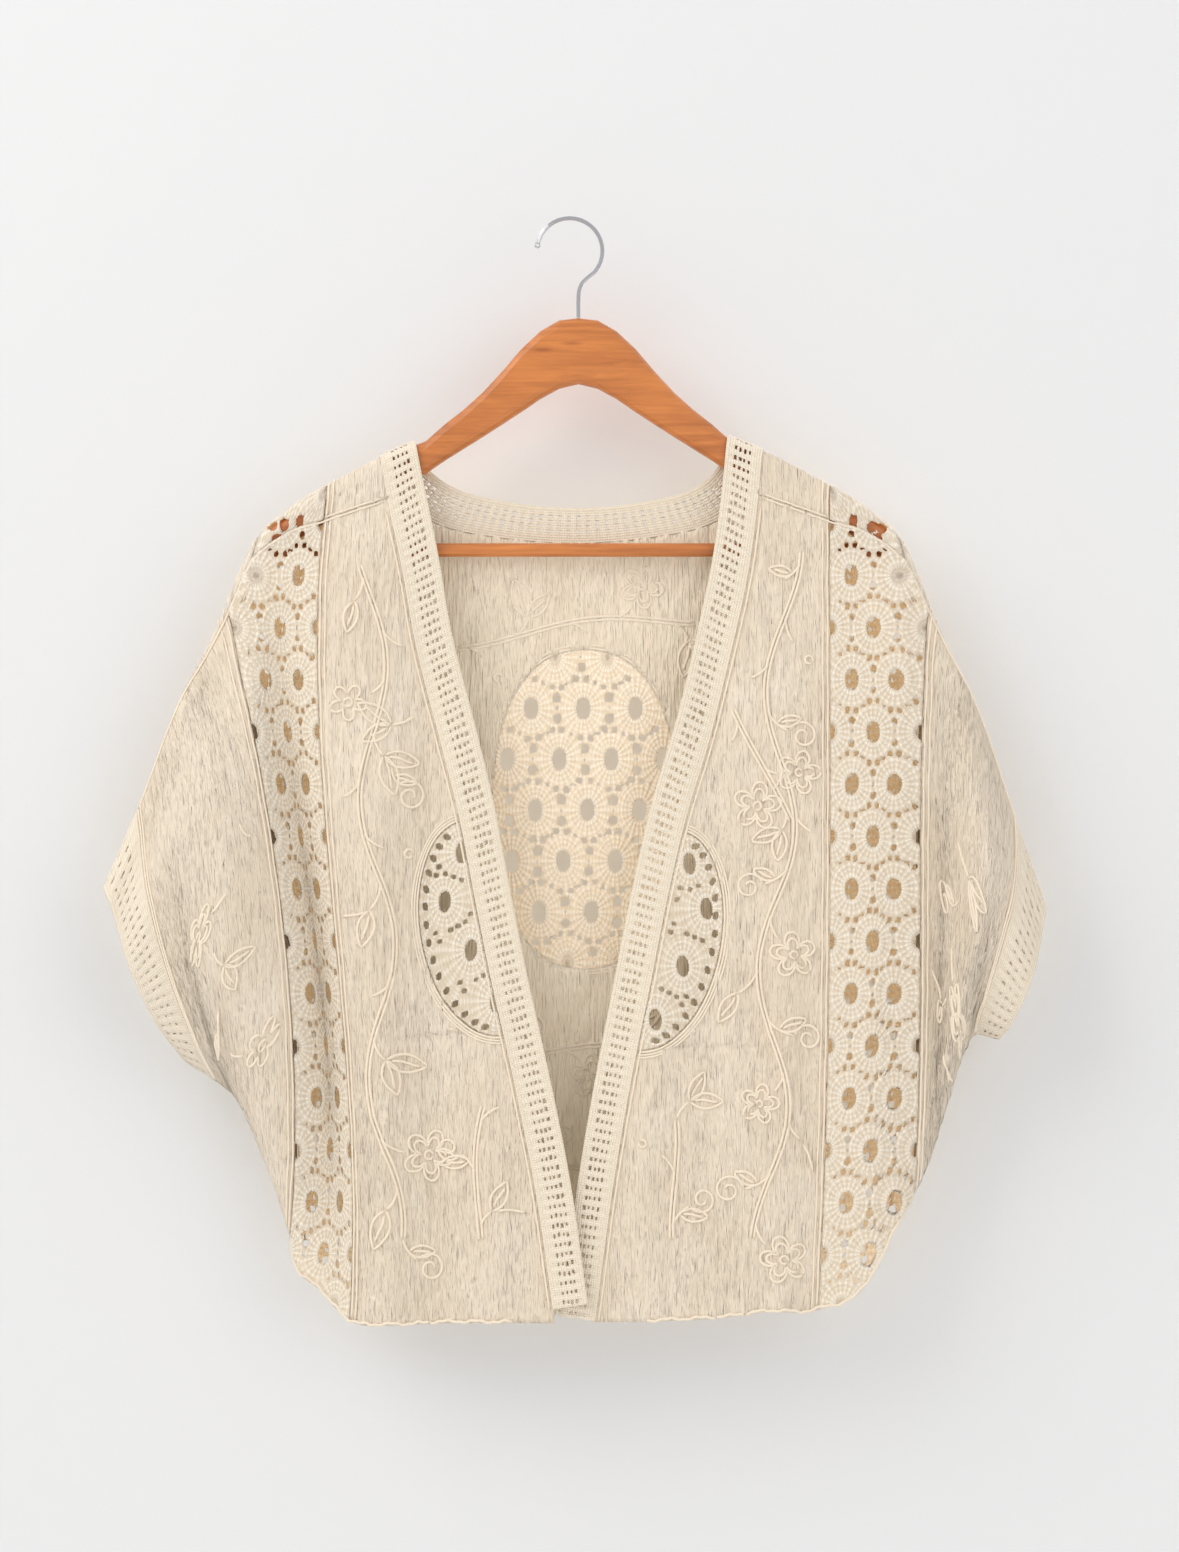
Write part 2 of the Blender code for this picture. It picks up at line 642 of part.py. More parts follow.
def seam_edge(loop, distance):
    """A cut piece's outline drawn in until its hung edge has moved by the distance.

    Where the chart is hung narrower than it is drawn, the outline is drawn in further.
    """
    shift = inset(loop, distance) - loop
    hung = hang(loop[:, 0], loop[:, 1])
    moved = hang(loop[:, 0] + shift[:, 0], loop[:, 1] + shift[:, 1]) - hung
    gaps = []
    for neighbour in (np.roll(hung, -1, axis=0), np.roll(hung, 1, axis=0)):
        edge = neighbour - hung
        edge /= np.linalg.norm(edge, axis=1, keepdims=True)
        beside = moved - (moved * edge).sum(axis=1, keepdims=True) * edge
        gaps.append(np.linalg.norm(beside, axis=1))
    factor = np.clip(abs(distance) / np.minimum(*gaps), 1, MOST_DRAWN_IN)
    return loop + shift * factor[:, None]


def inside(points, loop):
    """True for each point that lies inside a closed outline, by counting crossings."""
    x, y = points[:, :1], points[:, 1:]
    x0, y0 = loop[None, :, 0], loop[None, :, 1]
    x1, y1 = np.roll(x0, -1, axis=1), np.roll(y0, -1, axis=1)
    spans = (y0 > y) != (y1 > y)
    rise = np.where(y1 == y0, 1, y1 - y0)
    crossing = x0 + (y - y0) / rise * (x1 - x0)
    return (spans & (x < crossing)).sum(axis=1) % 2 == 1


def distance_to(points, loop):
    """Distance from each point to the nearest edge of a closed outline."""
    start = loop[None]
    edge = np.roll(loop, -1, axis=0)[None] - start
    offset = points[:, None] - start
    share = np.clip((offset * edge).sum(-1) / (edge ** 2).sum(-1), 0, 1)
    return np.linalg.norm(offset - share[..., None] * edge, axis=-1).min(axis=1)


def inner_rows(across):
    """Rows of one line inside a piece, with more of them above the foot of the underarm."""
    rows = row_stations(across, INNER_ROW_STEP)
    if abs(abs(across) - STRIP_EDGE) < NEAR_UNDERARM:
        above_foot = foot(across, 1) - np.array(ROWS_ABOVE_FOOT)
        rows = np.concatenate([rows, above_foot, -above_foot])
    return rows


def inner_points(outline, holes):
    """Chart points inside a piece: rows down evenly spaced lines, clear of its edges."""
    low, high = outline[:, 0].min(), outline[:, 0].max()
    count = max(2, math.ceil((high - low) / COLUMN_STEP))
    points = []
    for across in np.linspace(low, high, count + 1):
        points += [(across, row) for row in inner_rows(across)]
    points = np.array(points)
    rolled = np.abs(points[:, 1]) < line_sizes(points[:, 0])["nose_arc"]
    squeeze = np.array([CLEAR_ON_FOLD / CLEAR_OF_EDGES, 1])
    keep = inside(points, outline)
    for loop in [outline] + holes:
        near = distance_to(points, loop) < CLEAR_OF_EDGES
        near_on_fold = distance_to(points * squeeze, loop * squeeze) < CLEAR_ON_FOLD
        keep &= ~np.where(rolled, near_on_fold, near)
    for hole in holes:
        keep &= ~inside(points, hole)
    return points[keep]


def squeezed(points, stretch):
    """The chart drawn shorter along the folds, but at full length near the top fold."""
    down = np.abs(points[:, 1])
    shorter = np.minimum(down, TOP_ZONE) + np.maximum(down - TOP_ZONE, 0) / stretch
    return np.stack([points[:, 0], np.sign(points[:, 1]) * shorter], -1)


def cut_cloth(outline, holes, stretch):
    """Triangles of a flat piece with its holes, and which of its points edge a hole.

    They are drawn on the squeezed chart, so that they run long beside the folds.
    """
    loops = [outline] + holes
    points = np.vstack(loops + [inner_points(outline, holes)])
    edges = []
    edge_of_hole = np.zeros(len(points), int)
    start = 0
    for number, loop in enumerate(loops):
        ring = list(range(start, start + len(loop)))
        edges += list(zip(ring, ring[1:] + ring[:1]))
        edge_of_hole[ring] = len(loop) if number else 0
        start += len(loop)
    flat = [Vector((float(x), float(y))) for x, y in squeezed(points, stretch)]
    made = delaunay_2d_cdt(flat, edges, [], 0, 1e-7)
    found = np.array([list(point) for point in made[0]])
    source = np.array([origin[0] for origin in made[3]])
    faces = np.array(made[2])
    centres = found[faces].mean(axis=1)
    keep = inside(centres, squeezed(outline, stretch))
    for hole in holes:
        keep &= ~inside(centres, squeezed(hole, stretch))
    return points[source], faces[keep], edge_of_hole[source]


def build_object(name, points, faces, stuff, smooth=True):
    """A mesh object in world coordinates, with its faces pointing out."""
    mesh = bpy.data.meshes.new(name)
    mesh.from_pydata([tuple(point) for point in points], [], [tuple(face) for face in faces])
    mesh.materials.append(finish(stuff))
    mesh.validate()
    if smooth:
        mesh.shade_smooth()
        mesh.set_sharp_from_angle(angle=math.radians(40))
    made = bpy.data.objects.new(name, mesh)
    bpy.context.scene.collection.objects.link(made)
    return made


def thicken(name, chart, faces, wall, rise, stuff, lap):
    """Hang a flat piece and give it its wall: inner face, outer face and rims."""
    inner, out = hang_with_normals(chart, lap)
    outer = inner + out * (wall + rise)[:, None]
    count = len(chart)
    corners = chart[faces]
    turn = np.cross(corners[:, 1] - corners[:, 0], corners[:, 2] - corners[:, 0])
    faces = np.where((turn > 0)[:, None], faces, faces[:, ::-1])
    borders = {}
    for face in faces.tolist():
        for a, b in zip(face, face[1:] + face[:1]):
            if (b, a) in borders:
                del borders[(b, a)]
            else:
                borders[(a, b)] = True
    rims = [(b, a, a + count, b + count) for a, b in borders]
    skins = faces.tolist() + (faces[:, ::-1] + count).tolist()
    return build_object(name, np.vstack([inner, outer]), skins + rims, stuff)


def cloth_piece(name, outline, stuff, holes=(), lap=None):
    """One cut piece: its outline drawn in at the seams, its holes, hung with its wall."""
    outline = seam_edge(outline, SEAM_GAP / 2)
    stretch = FOLD_ASPECT if stuff == "gauze" else 1
    chart, faces, edge_of_hole = cut_cloth(outline, list(holes), stretch)
    wall = np.full(len(chart), GAUZE_WALL if stuff == "gauze" else CROCHET_WALL)
    rise = np.where(edge_of_hole == HOLE_SIDES, WHEEL_RISE, 0)
    return thicken(name, chart, faces, wall, rise, stuff, lap)


def ladder_piece(name, first, last, lap=None, stations=None):
    """A ribbed band between two chart lines with matching points.

    The outer face has a crest on every second rung. The plain inner face keeps only the
    rungs that follow the cloth's bends. Where the first line is sewn to a plainer piece it
    runs straight between that piece's stations.
    """
    chart = np.stack([first, last], axis=1).reshape(-1, 2)
    inner, out = hang_with_normals(chart, lap)
    if stations is not None:
        seam_inner, seam_out = hang_with_normals(stations, lap)
        for k in range(3):
            inner[::2, k] = np.interp(first[:, 1], stations[:, 1], seam_inner[:, k])
            out[::2, k] = np.interp(first[:, 1], stations[:, 1], seam_out[:, k])
    crest = np.repeat(np.arange(len(first)) % 2, 2)
    outer = inner + out * (CROCHET_WALL + crest * RIB_RISE)[:, None]
    kept = kept_rungs(inner[::2])
    back = np.stack([2 * kept, 2 * kept + 1], -1).reshape(-1)
    ahead = chart[1] - chart[0]
    along = chart[2] - chart[0]
    faces = ladder_faces(len(first), kept)
    if ahead[0] * along[1] - ahead[1] * along[0] < 0:
        faces = [face[::-1] for face in faces]
    return build_object(name, np.vstack([outer, inner[back]]), faces, "crochet")


def kept_rungs(line):
    """Rungs that the inner face needs: one in four, and all where the line bends."""
    run = np.diff(line, axis=0)
    run /= np.linalg.norm(run, axis=1, keepdims=True)
    bend = np.concatenate([[1], 1 - (run[1:] * run[:-1]).sum(axis=1), [1]])
    chosen = [0]
    for rung in range(1, len(line) - 1):
        if bend[rung] > RUNG_BEND or rung - chosen[-1] == RUNGS_PER_STEP:
            chosen.append(rung)
    return np.array(chosen + [len(line) - 1])


def ladder_faces(count, kept):
    """Faces of a band whose outer points come first, two a rung, then its inner points."""
    base = 2 * count
    faces = [(0, 1, base + 1, base)]
    last = 2 * (count - 1)
    inner_last = base + 2 * (len(kept) - 1)
    faces.append((last + 1, last, inner_last, inner_last + 1))
    for rung in range(count - 1):
        low = 2 * rung
        faces.append((low, low + 2, low + 3, low + 1))
    for step, (start, end) in enumerate(zip(kept[:-1], kept[1:])):
        low = base + 2 * step
        faces.append((low + 1, low + 3, low + 2, low))
        middle = (start + end + 1) // 2
        for side in (0, 1):
            fan = []
            for rung in range(start, end):
                near = low + side + (2 if rung >= middle else 0)
                fan.append((2 * rung + side, near, 2 * rung + 2 + side))
            fan.append((2 * middle + side, low + side, low + 2 + side))
            faces += [face[::-1] for face in fan] if side else fan
    return faces


def oval_hole(across, z, face, size, sides):
    """Chart outline of a hole in the lace, round a place across and a height."""
    turn = np.arange(sides) * 2 * math.pi / sides + (math.pi / sides if sides > 4 else 0)
    places = across + size[0] / 2 * np.cos(turn)
    return np.stack([places, along_at(places, z + size[1] / 2 * np.sin(turn), face)], -1)


def strip_holes(sign, face):
    """Wheel holes of one lace strip, in staggered rows, and the gaps beside each pair. The
    back's rows are staggered the other way, so that its wheels lie behind the front's gaps.
    """
    middle = sign * (BODY_HALF + STRIP_WIDTH / 2)
    holes = []
    for row in range(STRIP_ROWS):
        z = STRIP_FIRST_ROW_Z - row * WHEEL_PITCH_DOWN
        paired = (row % 2 == 0) == (face > 0)
        offsets = (-0.5, 0.5) if paired else (0,)
        for offset in offsets:
            across = middle + offset * WHEEL_PITCH_ACROSS
            holes.append(oval_hole(across, z, face, WHEEL_HOLE, HOLE_SIDES))
        if paired:
            for lift in (GAP_OFFSET, -GAP_OFFSET):
                holes.append(oval_hole(middle, z + lift, face, STRIP_GAP, GAP_SIDES))
    return holes


def within(holes, outline, margin):
    """The holes that lie inside an outline with a margin of cloth round them."""
    drawn_in = inset(outline, margin)
    return [hole for hole in holes if inside(hole, drawn_in).all()]


def oval_holes():
    """Wheel holes of the back's oval, and the two gaps between wheels side by side."""
    outline = back_oval()
    wheels = []
    gaps = []
    for row in range(OVAL_ROWS):
        z = OVAL_FIRST_ROW_Z - row * OVAL_PITCH[1]
        x = OVAL_CENTRE[0] - OVAL_LEAN * (1 - row)
        for step in np.arange(-2, 3) + (0.5 if row % 2 else 0):
            across = x + step * OVAL_PITCH[0]
            wheels.append(oval_hole(across, z, -1, WHEEL_HOLE, HOLE_SIDES))
            between = across + OVAL_PITCH[0] / 2
            for lift in (GAP_OFFSET, -GAP_OFFSET):
                gaps.append(oval_hole(between, z + lift, -1, OVAL_GAP, GAP_SIDES))
    return within(wheels, outline, WHEEL_MARGIN) + within(gaps, outline, OVAL_MARGIN)


def make_fronts():
    """Two front panels, their half ovals of lace and their ribbed bands."""
    for side, sign in (("left", -1), ("right", 1)):
        seam = seam_below_shoulder(side)[0]
        curve, base, first, last = half_oval(side)
        notch = np.vstack([thin_out(seam[:first + 1]), curve, thin_out(seam[last:])])
        hem = across_line(notch[-1, 0], sign * BODY_HALF, lambda a: foot(a, 1))
        outer = down_line(sign * BODY_HALF, hem[-1, 1], shoulder(np.array([BODY_HALF]))[0])
        top = across_line(sign * BODY_HALF, notch[0, 0], shoulder)
        outline = np.vstack([notch, hem, outer[1:], top[1:-1]])
        cloth_piece("front_" + side, outline, "gauze", lap=side)
        lace = np.vstack([thin_out(base), curve[::-1]])
        wheels = []
        for x, z in HALF_OVALS[side]["wheels"]:
            across = lay(np.array([x]), np.array([z]), 1)[0, 0]
            wheels.append(oval_hole(across, z, 1, WHEEL_HOLE, HOLE_SIDES))
        cloth_piece("front_lace_" + side, lace, "crochet", within(wheels, lace, HALF_OVAL_MARGIN), side)
        free, sewn = front_band_edges(side)
        sewn = sewn + (free - sewn) * SEAM_GAP / 2 / BAND_WIDTH
        free[0, 1] = sewn[0, 1] = SEAM_GAP / 2
        ladder_piece("front_band_" + side, free, sewn, side)


def thin_out(line):
    """The line with fewer points, none of them close to the last one kept."""
    kept = [line[0]]
    for point in line[1:-1]:
        far_from_last = np.linalg.norm(point - kept[-1]) > THINNED_STEP
        if far_from_last and np.linalg.norm(point - line[-1]) > THINNED_END:
            kept.append(point)
    return np.array(kept + [line[-1]])


def make_neck_band():
    """The ribbed band round the back of the neck."""
    free, seam = neck_band_edges()
    seam = seam + (free - seam) * SEAM_GAP / 2 / BAND_WIDTH
    for end in (0, -1):
        free[end, 1] = seam[end, 1] = -SEAM_GAP / 2
    ladder_piece("neck_band", free, seam)


def make_back():
    """The back panel, which comes over both shoulders to the seam, and its lace oval."""
    parts = []
    neck = neck_band_edges()[1]
    for side, sign in (("left", -1), ("right", 1)):
        above = seam_below_shoulder(side)[1]
        edge = sign * BODY_HALF
        side_line = down_line(edge, foot(edge, -1), shoulder(np.array([BODY_HALF]))[0])
        top = across_line(edge, above[-1, 0], shoulder)
        parts.append(np.vstack([side_line, top[1:-1], above[::-1]]))
    hem = across_line(BODY_HALF, -BODY_HALF, lambda a: foot(a, -1))
    outline = np.vstack([parts[0], neck[1:-1], parts[1][::-1], hem[1:-1]])
    oval = back_oval()
    cloth_piece("back_panel", outline, "gauze", [seam_edge(oval, -SEAM_GAP / 2)])
    cloth_piece("back_lace", oval, "crochet", oval_holes())


def make_side_strips():
    """Lace strips from hem to hem over each shoulder, seamed at the shoulder seam."""
    for side, sign in (("left", -1), ("right", 1)):
        for layer, face in (("front", 1), ("back", -1)):
            near, far = sign * BODY_HALF, sign * STRIP_EDGE
            top = shoulder(np.array([BODY_HALF, STRIP_EDGE]))
            inner = down_line(near, foot(near, face), top[0])
            outer = down_line(far, top[1], foot(far, face))
            seam = across_line(near, far, shoulder)
            hem = across_line(far, near, lambda a: foot(a, face))
            outline = np.vstack([inner, seam[1:-1], outer, hem[1:-1]])
            holes = within(strip_holes(sign, face), outline, WHEEL_MARGIN)
            cloth_piece("lace_strip_" + layer + "_" + side, outline, "crochet", holes)


def make_sleeves():
    """Sleeve panels from the lace strips to the cuffs, front and back, and the cuffs."""
    for side, sign in (("left", -1), ("right", 1)):
        near, far = sign * STRIP_EDGE, sign * CUFF_SEAM
        for layer, face in (("front", 1), ("back", -1)):
            top = shoulder(np.array([STRIP_EDGE, CUFF_SEAM]))
            inner = down_line(near, foot(near, face), top[0])
            outer = down_line(far, top[1], foot(far, face), CUFF_ROW_STEP)
            seam = across_line(near, far, shoulder)
            under = across_line(far, near, lambda a: foot(a, face))
            outline = np.vstack([inner, seam[1:-1], outer, under[1:-1]])
            cloth_piece("sleeve_" + layer + "_" + side, outline, "gauze")
        make_cuff(side, sign)


def make_cuff(side, sign):
    """A ribbed cuff, all round the sleeve's end from the underarm seam back to it."""
    girth = 2 * float(foot(sign * (CUFF_SEAM + CUFF_EDGE) / 2, 1))
    count = 2 * round(girth / RIB_PITCH)
    share = np.linspace(-1, 1, count + 1)
    lines = []
    for place in (CUFF_SEAM, CUFF_EDGE):
        across = np.full(len(share), sign * place)
        lines.append(np.stack([across, share * foot(across, 1)], -1))
    across = sign * CUFF_SEAM
    top = shoulder(np.array([CUFF_SEAM]))[0]
    stations = np.vstack([down_line(across, foot(across, -1), top, CUFF_ROW_STEP),
                          down_line(across, top, foot(across, 1), CUFF_ROW_STEP)[1:]])
    loop = seam_edge(np.vstack([stations, lines[1][::-1]]), SEAM_GAP / 2)
    lines[0][:, 1] *= loop[len(stations) - 1, 1] / lines[0][-1, 1]
    ladder_piece("cuff_" + side, lines[0], lines[1], stations=loop[:len(stations)])


def arm_edges(out):
    """Upper and lower edge of an arm, and the depth of its rounding, at a distance out."""
    rows = np.array(ARM_EDGES)
    beyond = np.arange(BODY_NECK, ARM_REACH + 2 * RIDGE_STEP, RIDGE_STEP)
    ridge = smooth_curve(section("top_x", beyond), section("top_z", beyond), beyond)
    rounding = ARM_THICK / 2 / rim_sine(beyond, 1e-3, "top", LEAST_SINE)
    wood_top = ridge - OVER_WOOD_GAP / (ARM_THICK / 2) * rounding
    places = np.concatenate([rows[:, 0], beyond])
    upper = smooth_curve(places, np.concatenate([rows[:, 1], wood_top]), out)
    lower = smooth_curve(places, np.concatenate([rows[:, 2], wood_top - ARM_DEPTH]), out)
    rounded = np.interp(out, beyond, rounding)
    past = np.clip((out - ARM_REACH + ARM_END_ROUND) / ARM_END_ROUND, 0, ROUNDED_TO)
    shrink = np.sqrt(1 - past ** 2)
    middle = (upper + lower) / 2
    half = (upper - lower) / 2 * shrink
    return middle + half, middle - half, np.minimum(rounded, half * 0.9)


def make_arms():
    """The flat wooden arms as upright sections, rounded along their upper and lower edges."""
    inner = np.linspace(0, ARM_REACH - ARM_END_ROUND, ARM_SECTIONS)
    ends = ARM_REACH - ARM_END_ROUND * (1 - np.sin(np.linspace(0, math.pi / 2, 5)[1:]))
    half = np.concatenate([inner, ends])
    out = np.concatenate([-half[:0:-1], half])
    upper, lower, rounding = arm_edges(np.abs(out))
    turn = np.linspace(0, math.pi / 2, 4)
    over = np.concatenate([turn, math.pi - turn[-2::-1]])
    under = np.concatenate([math.pi - turn, turn[-2::-1]])
    loop = []
    for angles, edge, sign in ((over, upper, -1), (under, lower, 1)):
        for angle in angles:
            y = np.full(len(out), ARM_THICK / 2 * math.cos(angle))
            z = edge + sign * rounding * (1 - math.sin(angle))
            loop.append(np.stack([CENTRE_X + out, y, z], -1))
    skin_rings("hanger_arms", np.array(loop).swapaxes(0, 1), "wood")


def skin_rings(name, rings, stuff):
    """A closed solid skinned over rings of points, with flat ends."""
    count, sides = rings.shape[:2]
    faces = []
    for k in range(count - 1):
        for j in range(sides):
            after = (j + 1) % sides
            faces.append((k * sides + j, k * sides + after,
                          (k + 1) * sides + after, (k + 1) * sides + j))
    faces.append(tuple(range(sides))[::-1])
    faces.append(tuple(range((count - 1) * sides, count * sides)))
    return build_object(name, rings.reshape(-1, 3), faces, stuff)


def make_bar():
    """The round cross bar, its ends cut to the slope of the arms' lower edges."""
    out = np.linspace(ARM_REACH / 2, ARM_REACH - ARM_END_ROUND, BAR_STATIONS)
    lower = arm_edges(out)[1]
    angle = np.arange(BAR_SIDES) * 2 * math.pi / BAR_SIDES
    y = BAR_DIAMETER / 2 * np.cos(angle)
    z = BAR_Z + BAR_DIAMETER / 2 * np.sin(angle)
    reach = np.interp(-z, -lower, out) - 2 * SEAM_GAP
    ends = [np.stack([CENTRE_X + side * reach, y, z], -1) for side in (-1, 1)]
    skin_rings("hanger_bar", np.array(ends), "wood")


def hook_path():
    """Middle line of the wire: round the crown, then inward and down to the wood."""
    crown = WIRE_DIAMETER / 2 - HOOK_RADIUS
    turn = np.radians(np.arange(HOOK_SWEEP[0], HOOK_SWEEP[1] - 1, -HOOK_STEP))
    arc = np.stack([HOOK_RADIUS * np.cos(turn), crown + HOOK_RADIUS * np.sin(turn)], -1)
    stem_foot = ARM_EDGES[0][1] + SEAM_GAP
    bend = np.array(HOOK_BEND)
    stem = np.array([[CENTRE_X, stem_foot + STEM_LENGTH], [CENTRE_X, stem_foot]])
    line = np.vstack([arc, bend, stem])
    return np.vstack([arc, spaced(line[len(arc) - 1:], WIRE_STEP)[1:]])


def make_hook():
    """The wire hook with the small ball at its tip, as rings along its middle line."""
    line = hook_path()
    run = np.gradient(line, axis=0)
    run /= np.linalg.norm(run, axis=1, keepdims=True)
    side = np.stack([run[:, 1], -run[:, 0]], -1)
    radius = np.full(len(line), WIRE_DIAMETER / 2)
    tip = line[0]
    ball = HOOK_TIP_BALL / 2
    back = -run[0]
    cap_angles = np.radians(np.array(BALL_ANGLES))
    cap = np.array([tip + back * ball * math.sin(angle) for angle in cap_angles])
    line = np.vstack([cap, line[1:]])
    side = np.vstack([np.repeat(side[:1], len(cap), axis=0), side[1:]])
    radius = np.concatenate([ball * np.cos(cap_angles), radius[1:]])
    angle = np.arange(WIRE_SIDES) * 2 * math.pi / WIRE_SIDES
    rings = []
    for point, across, size in zip(line, side, radius):
        x = point[0] + across[0] * size * np.cos(angle)
        z = point[1] + across[1] * size * np.cos(angle)
        rings.append(np.stack([x, size * np.sin(angle), z], -1))
    skin_rings("hanger_hook", np.array(rings), "chrome")


clear_scene()
make_arms()
make_bar()
make_hook()
make_fronts()
make_neck_band()
make_back()
make_side_strips()
make_sleeves()
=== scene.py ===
"""The looks of the gauze and crochet cardigan on its hanger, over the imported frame."""
import math

import bpy
import numpy as np
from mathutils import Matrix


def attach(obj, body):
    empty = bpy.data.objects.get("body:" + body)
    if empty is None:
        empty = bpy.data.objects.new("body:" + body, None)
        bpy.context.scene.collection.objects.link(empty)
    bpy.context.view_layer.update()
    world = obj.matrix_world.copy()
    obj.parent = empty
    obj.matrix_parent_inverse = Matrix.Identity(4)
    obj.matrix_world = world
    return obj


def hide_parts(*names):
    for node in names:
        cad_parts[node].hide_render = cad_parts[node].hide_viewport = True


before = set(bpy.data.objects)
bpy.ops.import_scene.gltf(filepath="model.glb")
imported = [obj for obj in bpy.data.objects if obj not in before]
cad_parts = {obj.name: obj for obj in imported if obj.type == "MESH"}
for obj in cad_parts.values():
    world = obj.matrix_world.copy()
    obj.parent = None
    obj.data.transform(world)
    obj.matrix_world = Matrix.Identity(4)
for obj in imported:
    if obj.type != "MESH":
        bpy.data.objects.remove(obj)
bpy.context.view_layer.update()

# Front panels: two pieces of crinkled cotton gauze, cut from the shoulder seam to the hem.
# Each is sewn to a ribbed band on its front edge and to a lace strip beside the arm, has a
# half oval of lace let in beside the band, and is embroidered with stems and flowers.
SIDES = {"left": -1, "right": 1}
CENTRE_X = 0.006
ARM_THICK = 0.012
OVER_WOOD_GAP = 0.0011
SLEEVE_NOSE = 0.0090
BODY_HALF = 0.170
STRIP_WIDTH = 0.056
SLEEVE_WIDTH = 0.110
CUFF_WIDTH = 0.030
BAND_WIDTH = 0.0245
STRIP_EDGE = BODY_HALF + STRIP_WIDTH
CUFF_SEAM = STRIP_EDGE + SLEEVE_WIDTH
CUFF_EDGE = CUFF_SEAM + CUFF_WIDTH

SECTION_COLUMNS = ("across", "top_x", "top_z", "upper_x", "lower_x", "foot_x", "foot_z")
SECTIONS = (
    (-0.366, -0.3210, -0.4540, -0.3065, -0.2910, -0.2660, -0.5710),
    (-0.336, -0.2980, -0.4000, -0.2880, -0.2710, -0.2450, -0.5850),
    (-0.281, -0.2710, -0.3280, -0.2540, -0.2450, -0.2235, -0.6115),
    (-0.226, -0.2380, -0.2620, -0.2090, -0.1930, -0.1950, -0.6920),
    (-0.212, -0.2190, -0.2195, -0.2020, -0.1800, -0.1890, -0.7140),
    (-0.198, -0.2000, -0.2005, -0.1940, -0.1720, -0.1757, -0.7250),
    (-0.170, -0.1700, -0.1810, -0.1730, -0.1570, -0.1545, -0.7455),
    (-0.135, -0.1350, -0.1620, -0.1350, -0.1290, -0.1240, -0.7480),
    (-0.101, -0.1010, -0.1475, -0.1010, -0.0990, -0.0950, -0.7470),
    (-0.060, -0.0600, -0.1370, -0.0600, -0.0600, -0.0580, -0.7460),
    (0.000, 0.0000, -0.1320, 0.0000, 0.0000, 0.0000, -0.7460),
    (0.060, 0.0600, -0.1370, 0.0600, 0.0600, 0.0600, -0.7450),
    (0.101, 0.1010, -0.1475, 0.1010, 0.1000, 0.0990, -0.7430),
    (0.135, 0.1350, -0.1620, 0.1350, 0.1330, 0.1300, -0.7390),
    (0.170, 0.1700, -0.1810, 0.1700, 0.1685, 0.1620, -0.7380),
    (0.198, 0.2000, -0.2005, 0.1990, 0.1980, 0.1950, -0.7200),
    (0.212, 0.2190, -0.2195, 0.2135, 0.2130, 0.2140, -0.6840),
    (0.226, 0.2370, -0.2610, 0.2310, 0.2305, 0.2270, -0.6620),
    (0.281, 0.2690, -0.3300, 0.2660, 0.2560, 0.2480, -0.6060),
    (0.336, 0.2960, -0.4090, 0.2930, 0.2810, 0.2690, -0.5530),
    (0.366, 0.3165, -0.4670, 0.3100, 0.3010, 0.2860, -0.5560),
)

DEPTH_COLUMNS = ("across", "front_upper", "front_lower", "front_foot",
                 "back_upper", "back_lower", "back_foot")
DEPTHS = (
    (-0.366, 0.014, 0.012, 0.000, 0.010, 0.009, 0.000),
    (-0.336, 0.018, 0.016, 0.000, 0.012, 0.011, 0.000),
    (-0.281, 0.030, 0.026, 0.000, 0.016, 0.014, 0.000),
    (-0.226, 0.018, 0.017, 0.000, 0.010, 0.009, 0.000),
    (-0.198, -0.002, -0.003, 0.000, 0.008, 0.008, 0.003),
    (-0.170, 0.011, 0.012, 0.007, 0.006, 0.008, 0.006),
    (-0.101, 0.006, 0.009, 0.010, 0.005, 0.008, 0.009),
    (0.000, 0.005, 0.009, 0.012, 0.005, 0.008, 0.010),
    (0.101, 0.006, 0.009, 0.010, 0.005, 0.008, 0.009),
    (0.170, 0.008, 0.010, 0.007, 0.006, 0.008, 0.006),
    (0.198, 0.008, 0.010, 0.004, 0.008, 0.008, 0.003),
    (0.226, 0.006, 0.006, 0.000, 0.010, 0.008, 0.000),
    (0.246, 0.000, 0.001, 0.000, 0.011, 0.009, 0.000),
    (0.281, 0.016, 0.014, 0.000, 0.014, 0.012, 0.000),
    (0.336, 0.018, 0.016, 0.000, 0.012, 0.010, 0.000),
    (0.366, 0.014, 0.012, 0.000, 0.010, 0.009, 0.000),
)

